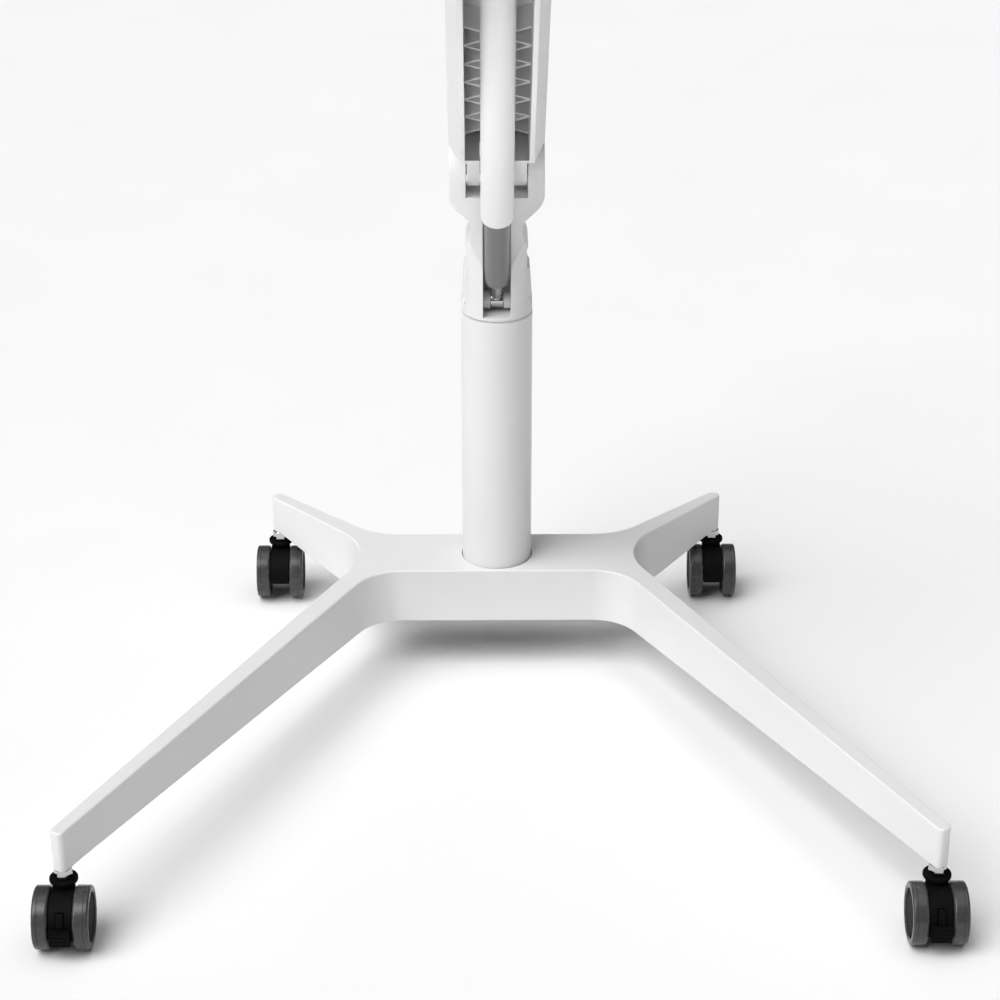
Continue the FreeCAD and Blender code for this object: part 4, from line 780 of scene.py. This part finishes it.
@dataclass
class Castor:
    """One twin-wheel castor."""

    name: str
    braked: bool
    inner_shoulder: float = 2.2 * MM
    outer_shoulder: float = 3.6 * MM
    groove: float = 0.25 * MM
    groove_land: float = 0.2 * MM
    inner_lip: Pair = (0.8 * MM, 0.3 * MM)
    outer_lip: Pair = (1.2 * MM, 1.0 * MM)
    lip_round: float = 0.4 * MM
    bore: float = 3.05 * MM
    bore_share: float = 0.82
    cover_drop: float = 0.4 * MM
    ring: Triple = (0.9 * MM, 1.3 * MM, 1.9 * MM)
    ring_depth: float = 0.5 * MM
    ring_round: float = 0.2 * MM
    edge_round: float = 0.3 * MM
    crown: float = 0.1 * MM
    crown_share: float = 0.5
    crown_round: float = 2.0 * MM
    rib_count: int = 4
    rib_depth: float = 0.7 * MM
    arm_half: float = 2.7 * MM
    arm_depth: float = 7.0 * MM
    pad_depth: float = 5.0 * MM
    pad_lap: float = 0.8 * MM
    arm_span: Pair = (48.0, 109.0)
    pad_span: Pair = (79.0, 109.0)

    def build(self) -> None:
        """Make both wheels, the body, the axle and any pedal."""
        for hand, sign in HANDS:
            self.tread(hand, sign)
            self.hub(hand, sign)
        soft_copy(f"{self.name}_body", Coat.BLACK_MOULDED, 0.5 * MM)
        keep(f"{self.name}_axle", Coat.ZINC_STEEL)
        if self.braked:
            self.pedal()

    def wheel(self, hand: str, sign: float, part: str) -> tuple[Matrix, float, float]:
        """Place, radius and width of one wheel part, looking out from the castor's middle."""
        low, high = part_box(f"{self.name}_{hand}_{part}")
        inner = high.x if sign < 0 else low.x
        centre = Vector((inner, (low.y + high.y) / 2, (low.z + high.z) / 2))
        axis = Axis.RIGHT if sign > 0 else Axis.LEFT
        return facing(centre, axis.value), (high.z - low.z) / 2, high.x - low.x

    def tread(self, hand: str, sign: float) -> None:
        """Tread with round shoulders and a fine groove beside the outer one."""
        place, radius, width = self.wheel(hand, sign, "tread")
        _, seat, _ = self.wheel(hand, sign, "hub")
        at = width - self.outer_shoulder - self.groove_land
        cut = self.groove
        inner, inner_rise = self.inner_lip
        outer, outer_rise = self.outer_lip
        outline = rounded([
            (seat, inner_rise, 0.0), (seat + inner, 0.0, inner_rise),
            (radius, 0.0, self.inner_shoulder), (radius, at - 2 * cut, 0.0),
            (radius - cut, at - cut, 0.0), (radius, at, 0.0),
            (radius, width, self.outer_shoulder), (seat + outer, width, self.lip_round),
            (seat, width - outer_rise, 0.0)], steps=7)
        show_turned(f"{self.name}_{hand}_tread", "moulded", Coat.GREY_TREAD, outline, place,
                    crease=35.0)

    def hub(self, hand: str, sign: float) -> None:
        """Hub with a faintly crowned cover and a ring groove inside its rim."""
        place, radius, width = self.wheel(hand, sign, "hub")
        face = width - self.cover_drop
        rim = face - self.cover_drop
        start, bottom, end = (radius - inset for inset in self.ring)
        outline = rounded([
            (self.bore, 0.0, 0.0), (radius, 0.0, self.edge_round), (radius, rim, self.lip_round),
            (start, rim, self.ring_round), (bottom, rim - self.ring_depth, self.ring_round),
            (end, rim, self.edge_round), (radius * self.crown_share, face, self.crown_round),
            (0.0, face + self.crown, 0.0)])
        depth = width * self.bore_share
        show_turned(f"{self.name}_{hand}_hub", "dished", Coat.BLACK_MOULDED,
                    outline + [(0.0, depth, 0), (self.bore, depth, 0)], place, crease=35.0)

    def pedal(self) -> None:
        """Brake pedal: a curved arm and a wide pad with ribs across its foot."""
        node = f"{self.name}_pedal"
        low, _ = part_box(node)
        axle = pivot(f"{self.name}_brake_flip")
        half_pad = half_width(node)
        outer = axle.y - low.y
        pad = outer - self.pad_depth
        arm = pad + self.pad_lap
        mesh = bmesh.new()
        self.sector(mesh, axle, (arm - self.arm_depth, arm), self.arm_span, self.arm_half, 0)
        self.sector(mesh, axle, (pad, outer), self.pad_span, half_pad, self.rib_count)
        show(f"{node}_ribbed", mesh, Coat.BLACK_MOULDED, node, node)

    def sector(self, mesh: Mesh, axle: Vector, reach: Pair,
               span: Pair, half: float, ribs: int) -> None:
        """Ring sector about the axle, with ribs along X on its outside.

        Args:
            mesh: mesh to add to.
            axle: the axle's place.
            reach: inner and outer radius.
            span: angles from upright towards the front, in degrees.
            half: half its width.
            ribs: number of ribs on the outside.
        """
        steps, inner_stride, rib_edge = 40, 8, 1.5
        outline = []
        for step in range(steps + 1):
            share = step / steps
            wave = math.cos(2 * math.pi * ribs * share)
            depth = self.rib_depth * min(1.0, max(0.0, 0.5 - wave * rib_edge)) if ribs else 0.0
            outline.append((reach[1] - depth, span[0] + (span[1] - span[0]) * share))
        for step in range(steps, -1, -inner_stride):
            outline.append((reach[0], span[0] + (span[1] - span[0]) * step / steps))
        points = [axle + Vector((-half, -radius * math.sin(math.radians(angle)),
                                 radius * math.cos(math.radians(angle))))
                  for radius, angle in outline]
        edges = prism(mesh, points, Vector((2 * half, 0.0, 0.0)))
        rims = [edge for edge in edges if abs(edge.verts[0].co.x - edge.verts[1].co.x) < TINY]
        round_over(mesh, rims, self.edge_round)


@dataclass
class Column:
    """Column tube with its bush, plug and bolt."""

    lip: float = 0.5 * MM
    wall: float = 3.0 * MM

    def build(self) -> None:
        """Make the tube and dress what it holds."""
        low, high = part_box("column_tube")
        radius = half_width("column_tube")
        outline = rounded([
            (radius - self.wall, low.z, self.lip), (radius, low.z, self.lip),
            (radius, high.z, self.lip), (radius - self.wall, high.z, self.lip)])
        show_turned("column_tube", "turned", Coat.TUBE_WHITE, outline, Matrix.Identity(4),
                    steps=2 * ROUND_STEPS)
        keep("swivel_bush", Coat.GREY_BEARING)
        keep("column_plug", Coat.ZINC_STEEL)
        keep("column_bolt", Coat.ZINC_STEEL)


@dataclass
class ColumnHead:
    """Casting on the column with the arm's yoke and its pins."""

    edge: float = 0.8 * MM

    def build(self) -> None:
        """Make the casting, its pins and the spacers."""
        soft_copy("column_head", Coat.CAST_WHITE, self.edge)
        socket_pin("arm_pivot_pin", Coat.ZINC_STEEL, 0.5)
        socket_pin("spring_pin_lower", Coat.ZINC_STEEL)
        soft_copy("pin_plugs", Coat.CAST_WHITE, 0.25 * MM)
        soft_copy("spring_spacers", Coat.GREY_BEARING, 0.4 * MM)


@dataclass
class GasSpring:
    """Gas spring on its own line between its two pins."""

    crimp: float = 0.8 * MM
    crimp_place: float = 12.0 * MM
    crimp_round: Pair = (0.3 * MM, 0.4 * MM)
    lip: float = 0.35 * MM
    foot_inset: float = 1.5 * MM
    foot_rise: float = 2.2 * MM
    shoulder: float = 1.2 * MM
    head_round: float = 1.0 * MM
    head_inset: float = 4.0 * MM
    seal_depth: float = 3.0 * MM
    sleeve_wall: float = 0.8 * MM
    collar: float = 4.05 * MM
    collar_round: float = 0.2 * MM

    def line(self) -> tuple[Vector, Vector]:
        """Lower pin and the direction to the upper one."""
        foot = pivot("spring_lower_pivot")
        return foot, (pivot("spring_upper_pivot") - foot).normalized()

    def span(self, node: str, radius: float) -> Pair:
        """Where a round node starts and ends along the spring's line."""
        foot, axis = self.line()
        low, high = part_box(node)
        droop = radius * math.sqrt(1 - axis.z * axis.z)
        return (low.z - foot.z + droop) / axis.z, (high.z - foot.z - droop) / axis.z

    def build(self) -> None:
        """Make the cylinder, the sleeve, the rod and both eyes."""
        foot, axis = self.line()
        place = facing(foot, axis)
        self.cylinder(place)
        self.sleeve(place)
        keep("gas_rod", Coat.CHROME)
        for eye in ("gas_lower_eye", "gas_upper_eye"):
            soft_copy(eye, Coat.CHROME, 0.4 * MM)

    def cylinder(self, place: Matrix) -> None:
        """Cylinder with a rolled foot and a crimped groove near its head."""
        radius = half_width("gas_cylinder")
        start, end = self.span("gas_cylinder", radius)
        groove = end - self.crimp_place
        neck = radius - self.head_inset
        mouth, bottom = self.crimp_round
        outline = rounded([
            (0.0, start, 0.0), (radius - self.foot_inset, start, self.lip),
            (radius, start + self.foot_rise, self.shoulder),
            (radius, groove - 2 * self.crimp, mouth),
            (radius - self.crimp, groove - self.crimp, bottom),
            (radius - self.crimp, groove + self.crimp, bottom),
            (radius, groove + 2 * self.crimp, mouth), (radius, end, self.head_round),
            (neck, end, bottom), (neck, end - self.seal_depth, 0.0),
            (0.0, end - self.seal_depth, 0.0)])
        show_turned("gas_cylinder", "turned", Coat.GREY_LACQUER, outline, place)

    def sleeve(self, place: Matrix) -> None:
        """Thin sleeve with a rounded lip, closed by a collar round the rod."""
        radius = half_width("gas_sleeve")
        start, end = self.span("gas_sleeve", radius)
        inner = radius - self.sleeve_wall
        outline = rounded([
            (inner, start, self.lip), (radius, start, self.lip), (radius, end, self.shoulder),
            (self.collar, end, self.collar_round), (self.collar, end - self.seal_depth, 0.0),
            (inner, end - self.seal_depth, 0.0)])
        show_turned("gas_sleeve", "turned", Coat.TUBE_WHITE, outline, place)


@dataclass
class BoomArm:
    """Ribbed channel arm with its pins and the wrist bracket."""

    edge: float = 0.6 * MM
    wrist_edge: float = 1.2 * MM

    def build(self) -> None:
        """Make the arm and dress its fittings."""
        soft_copy("boom_arm", Coat.CAST_WHITE, self.edge)
        keep("arm_bushes", Coat.GREY_BEARING)
        socket_pin("spring_pin_upper", Coat.ZINC_STEEL)
        socket_pin("wrist_pin", Coat.ZINC_STEEL)
        soft_copy("wrist_bracket", Coat.CAST_WHITE, self.wrist_edge)


@dataclass
class SteamHead:
    """Steam head: shells, outlet, water tank, controls and what the shells hold."""

    wall: float = 3.0 * MM
    opening: float = 15.4 * MM
    shoulder_share: float = 0.28
    dome_steps: int = 28
    dome_power: float = 2.4
    fine: float = 0.3 * MM
    soft: float = 0.4 * MM
    cap_skirt: float = 12.0 * MM
    cap_plug_inset: float = 5.5 * MM
    cap_round: float = 2.0 * MM
    cap_dish: float = 0.7 * MM
    cap_dish_share: Pair = (0.6, 0.56)
    cap_flutes: int = 30
    cap_flute_share: float = 0.03
    knob_shaft: float = 3.0 * MM
    knob_seat: float = 12.5 * MM
    knob_taper: float = 0.8 * MM
    knob_face: Pair = (1.0 * MM, 0.6 * MM)
    knob_round: Pair = (1.6 * MM, 0.5 * MM)
    knob_face_share: float = 0.7
    knob_flutes: int = 18
    knob_flute_share: float = 0.035
    pointer_half: float = 0.7 * MM
    pointer_depth: Pair = (0.05 * MM, 1.2 * MM)
    pointer_share: Pair = (0.25, 0.8)
    button_hollow: float = 0.8 * MM
    button_round: float = 0.7 * MM
    button_rim_share: float = 0.78
    console_depth: float = 2.5 * MM
    tick_count: int = 11
    tick_ring: float = 3.0 * MM
    tick_span: Pair = (225.0, 270.0)
    tick_size: Pair = (0.5, 0.05)
    tick_rise: float = 0.45 * MM
    sunk: float = 0.2 * MM
    lamp_radius: float = 1.6 * MM
    lamp_rise: Pair = (0.9 * MM, 1.1 * MM)
    lamp_over_button: float = 13.0 * MM

    def build(self) -> None:
        """Make and dress every piece of the head."""
        self.lower_shell()
        self.upper_shell()
        soft_copy("steam_outlet", Coat.SHELL_WHITE, 0.6 * MM)
        soft_copy("water_tank", Coat.CLEAR_TANK, 0.6 * MM)
        self.tank_cap()
        self.mist_knob()
        self.power_button()
        self.dial_marks()
        soft_copy("power_inlet", Coat.BLACK_MOULDED, 0.5 * MM)
        keep("boiler_cup", Coat.DRAWN_STEEL)
        keep("heater_coil", Coat.HEATED_STEEL)
        keep("control_board", Coat.BOARD_GREEN)

    def lower_shell(self) -> None:
        """Bowl with a rounded foot, a rim rebate and the console block."""
        soft_copy("housing_lower", Coat.SHELL_WHITE, 0.8 * MM, corner=38.0)

    def dome(self, reach: float, rise: float, shoulder: float) -> list[OutlinePoint]:
        """Quarter of a smooth curve from the shoulder to the opening.

        Args:
            reach: radius at the shoulder.
            rise: height over the shoulder.
            shoulder: height of the shoulder.

        Returns:
            The outline's points.
        """
        points = []
        for step in range(self.dome_steps + 1):
            angle = math.pi / 2 * step / self.dome_steps
            along = math.sin(angle) ** (2 / self.dome_power)
            across = reach * math.cos(angle) ** (2 / self.dome_power)
            points.append((max(self.opening, across), shoulder + rise * along, 0))
            if across < self.opening:
                break
        return points

    def upper_shell(self) -> None:
        """Dome on one smooth curve with a round opening for the outlet."""
        low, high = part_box("housing_upper")
        centre = middle("housing_upper")
        radius = half_width("housing_upper")
        height = high.z - low.z
        shoulder = height * self.shoulder_share
        rise = height - shoulder
        inside = radius - self.wall
        outer = [(radius, 0.0, 0)] + self.dome(radius, rise, shoulder)
        inner = [(inside, 0.0, 0)] + self.dome(inside, rise - self.wall, shoulder)
        show_turned("housing_upper", "domed", Coat.SHELL_WHITE, outer + inner[::-1],
                    Matrix.Translation((centre.x, centre.y, low.z)), steps=2 * ROUND_STEPS)

    def flutes(self, count: int, share: float) -> Callable[[float], float]:
        """Factor on the radius that cuts evenly spaced flutes.

        Args:
            count: number of flutes.
            share: depth over radius.

        Returns:
            A function from the angle to the factor.
        """
        return lambda angle: 1 - share * max(0.0, math.cos(count * angle))

    def console(self, node: str) -> Matrix:
        """Place of a control that looks out of the console's face."""
        _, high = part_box(node)
        centre = middle(node)
        return facing(Vector((centre.x, high.y, centre.z)), Axis.FRONT.value)

    def tank_cap(self) -> None:
        """Screw cap with grip flutes round its skirt."""
        low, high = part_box("tank_cap")
        centre = middle("tank_cap")
        radius = half_width("tank_cap")
        skirt = high.z - self.cap_skirt
        plug = radius - self.cap_plug_inset
        dish = high.z - self.cap_dish
        rim, bottom = (radius * share for share in self.cap_dish_share)
        outline = rounded([
            (0.0, low.z, 0.0), (plug, low.z, self.soft), (plug, skirt, 0.0),
            (radius, skirt, self.soft), (radius, high.z, self.cap_round),
            (rim, high.z, self.soft), (bottom, dish, self.soft), (0.0, dish, 0.0)])
        show_turned("tank_cap", "fluted", Coat.GREY_MOULDED, outline,
                    Matrix.Translation((centre.x, centre.y, 0.0)),
                    steps=self.cap_flutes * 6,
                    flutes=self.flutes(self.cap_flutes, self.cap_flute_share))

    def mist_knob(self) -> None:
        """Fluted knob with a raised pointer on its face."""
        low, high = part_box("mist_knob")
        radius = half_width("mist_knob")
        length = high.y - low.y
        edge, centre_drop = self.knob_face
        outline = rounded([
            (0.0, 0.0, 0.0), (self.knob_shaft, 0.0, self.fine),
            (self.knob_shaft, self.knob_seat, 0.0), (radius, self.knob_seat, self.soft),
            (radius - self.knob_taper, length - edge, self.knob_round[0]),
            (radius * self.knob_face_share, length - edge, self.knob_round[1]),
            (0.0, length - centre_drop, 0.0)])
        show_turned("mist_knob", "fluted", Coat.SHELL_WHITE, outline, self.console("mist_knob"),
                    steps=self.knob_flutes * 8,
                    flutes=self.flutes(self.knob_flutes, self.knob_flute_share))
        centre = middle("mist_knob")
        front, back = (low.y + depth for depth in self.pointer_depth)
        bottom, top = (centre.z + radius * share for share in self.pointer_share)
        pointer = bmesh.new()
        block(pointer, Vector((centre.x - self.pointer_half, front, bottom)),
              Vector((centre.x + self.pointer_half, back, top)), 0.25 * MM)
        show("mist_knob_pointer", pointer, Coat.MARK_GREY, "mist_knob")

    def power_button(self) -> None:
        """Button with a hollowed face."""
        low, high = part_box("power_button")
        radius = half_width("power_button")
        length = high.y - low.y
        outline = rounded([
            (0.0, 0.0, 0.0), (radius, 0.0, self.fine), (radius, length, self.button_round),
            (radius * self.button_rim_share, length, self.soft),
            (0.0, length - self.button_hollow, 0.0)])
        show_turned("power_button", "hollowed", Coat.GREY_MOULDED, outline,
                    self.console("power_button"))

    def dial_marks(self) -> None:
        """Raised dots round the knob and a small lamp over the button."""
        knob, button = middle("mist_knob"), middle("power_button")
        button_low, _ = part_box("power_button")
        face = button_low.y + self.console_depth + self.sunk
        ring = half_width("mist_knob") + self.tick_ring
        first, sweep = self.tick_span
        marks = bmesh.new()
        for index in range(self.tick_count):
            angle = math.radians(first - sweep * index / (self.tick_count - 1))
            size = (self.tick_size[0] + self.tick_size[1] * index) * MM
            centre = Vector((knob.x + ring * math.cos(angle), face,
                             knob.z + ring * math.sin(angle)))
            dot = rounded([(0.0, 0.0, 0.0), (size, 0.0, 0.0), (size, self.tick_rise, 0.15 * MM),
                           (0.0, self.tick_rise, 0.0)], steps=3)
            turned(marks, dot, facing(centre, Axis.FRONT.value), steps=20)
        show("console_dots", marks, Coat.MARK_GREY, "housing_lower")
        edge, crown = self.lamp_rise
        lens = rounded([(0.0, 0.0, 0.0), (self.lamp_radius, 0.0, 0.0),
                        (self.lamp_radius, edge, 0.7 * MM), (0.0, crown, 0.0)])
        lamp = bmesh.new()
        turned(lamp, lens, facing(Vector((button.x, face, button.z + self.lamp_over_button)),
                                  Axis.FRONT.value), steps=40)
        show("console_lamp", lamp, Coat.LAMP_GREEN, "housing_lower")


# ---- studio

@dataclass
class Studio:
    """Pale floor, soft light and the camera."""

    lens: float = 92.4
    sensor: float = 36.0
    place: Triple = (-0.0139, -2.0906, 1.2187)
    pitch: float = 63.01
    turn: float = -0.46
    reach: float = 60.0
    surround: float = 0.06
    backdrop: float = 0.97
    key: Pair = (2.6, 48.0)
    top: Pair = (1.0, 60.0)
    front: Pair = (0.16, 40.0)
    strip_size: Pair = (0.5, 1.6)
    strip_powers: Pair = (12.0, 7.0)
    strip_place: Triple = (1.9, -2.0, 1.1)
    strip_drop: float = 0.2
    arm_lamp_power: float = 15.0
    arm_lamp_cone: float = 17.0
    arm_lamp_blend: float = 0.7
    arm_lamp_size: float = 0.12
    arm_lamp_place: Triple = (-0.2, -1.25, 0.24)
    arm_lamp_aim: Triple = (0.0, -0.08, 0.1)

    def build(self) -> None:
        """Make the camera, the lights and the floor."""
        self.camera()
        self.surroundings()
        self.lights()
        self.floor()
        bpy.context.scene.view_settings.view_transform = "Standard"

    def camera(self) -> None:
        """Camera that looks down at the stand from the front."""
        data = bpy.data.cameras.new("camera")
        data.lens = self.lens
        data.sensor_width = self.sensor
        data.clip_end = self.reach
        camera = bpy.data.objects.new("camera", data)
        camera.location = self.place
        camera.rotation_euler = (math.radians(self.pitch), 0.0, math.radians(self.turn))
        bpy.context.scene.collection.objects.link(camera)
        bpy.context.scene.camera = camera

    def surroundings(self) -> None:
        """Dim light from all round, behind a backdrop that looks as pale as the floor."""
        world = bpy.data.worlds.new("surroundings")
        world.use_nodes = True
        background = world.node_tree.nodes["Background"]
        background.inputs["Color"].default_value = (1.0, 1.0, 1.0, 1.0)
        wiring = Wiring(world.node_tree)
        seen = wiring.add("ShaderNodeLightPath").outputs["Is Camera Ray"]
        strength = wiring.spread(seen, 0.0, 1.0, self.surround, self.backdrop)
        world.node_tree.links.new(strength, background.inputs["Strength"])
        bpy.context.scene.world = world

    def lights(self) -> None:
        """Broad key from the upper left front, softer suns, two strips and a low spot."""
        suns = (("key", *self.key, Vector((-0.52, -0.42, 0.9))),
                ("top", *self.top, Vector((0.0, 0.0, 1.0))),
                ("front", *self.front, Vector((-0.45, -1.0, 0.35))))
        for name, strength, spread, towards in suns:
            sun = bpy.data.lights.new(name, "SUN")
            sun.energy = strength
            sun.angle = math.radians(spread)
            self.hang(sun, towards, towards)
        for (hand, sign), power in zip(HANDS, self.strip_powers):
            strip = bpy.data.lights.new(f"strip_{hand}", "AREA")
            strip.shape = "RECTANGLE"
            strip.size, strip.size_y = self.strip_size
            strip.energy = power
            across, along, up = self.strip_place
            place = Vector((sign * across, along, up))
            lamp = self.hang(strip, place, place - Vector((0.0, 0.0, self.strip_drop)))
            lamp.visible_diffuse = False
        low = bpy.data.lights.new("arm_lamp", "SPOT")
        low.energy = self.arm_lamp_power
        low.spot_size = math.radians(self.arm_lamp_cone)
        low.spot_blend = self.arm_lamp_blend
        low.shadow_soft_size = self.arm_lamp_size
        place = Vector(self.arm_lamp_place)
        lamp = self.hang(low, place, place - (pivot("arm_lift") + Vector(self.arm_lamp_aim)))
        lamp.visible_camera = False

    def hang(self, light: bpy.types.Light, place: Vector, back: Vector) -> bpy.types.Object:
        """Hang a light at a place, shining against the direction given.

        Args:
            light: the light.
            place: where it hangs.
            back: direction from what it lights to the light.

        Returns:
            The lamp's object.
        """
        lamp = bpy.data.objects.new(light.name, light)
        lamp.location = place
        lamp.rotation_euler = back.to_track_quat("Z", "Y").to_euler()
        bpy.context.scene.collection.objects.link(lamp)
        return lamp

    def floor(self) -> None:
        """Large pale floor."""
        mesh = bmesh.new()
        half = self.reach
        mesh.faces.new([mesh.verts.new(corner) for corner in (
            (-half, -half, 0.0), (half, -half, 0.0), (half, half, 0.0), (-half, half, 0.0))])
        data = bpy.data.meshes.new("floor")
        mesh.to_mesh(data)
        mesh.free()
        floor = bpy.data.objects.new("floor", data)
        bpy.context.scene.collection.objects.link(floor)
        pale = Finish("pale_floor", (0.93, 0.93, 0.93), 0.7, tone_spread=0.004, mottle=1.5,
                      grain=200.0, grain_depth=0.01 * MM)
        data.materials.append(pale.build())


def main() -> None:
    """Build every sub-assembly in order."""
    logging.basicConfig(level=logging.INFO, format="%(message)s")
    build_effects()
    assemblies = [
        Studio(), BaseStand(),
        Castor("castor_fl", braked=True), Castor("castor_fr", braked=True),
        Castor("castor_rl", braked=False), Castor("castor_rr", braked=False),
        Column(), ColumnHead(), GasSpring(), BoomArm(), SteamHead()]
    for assembly in assemblies:
        LOG.info("building %s", type(assembly).__name__)
        assembly.build()


if __name__ == "__main__":
    main()
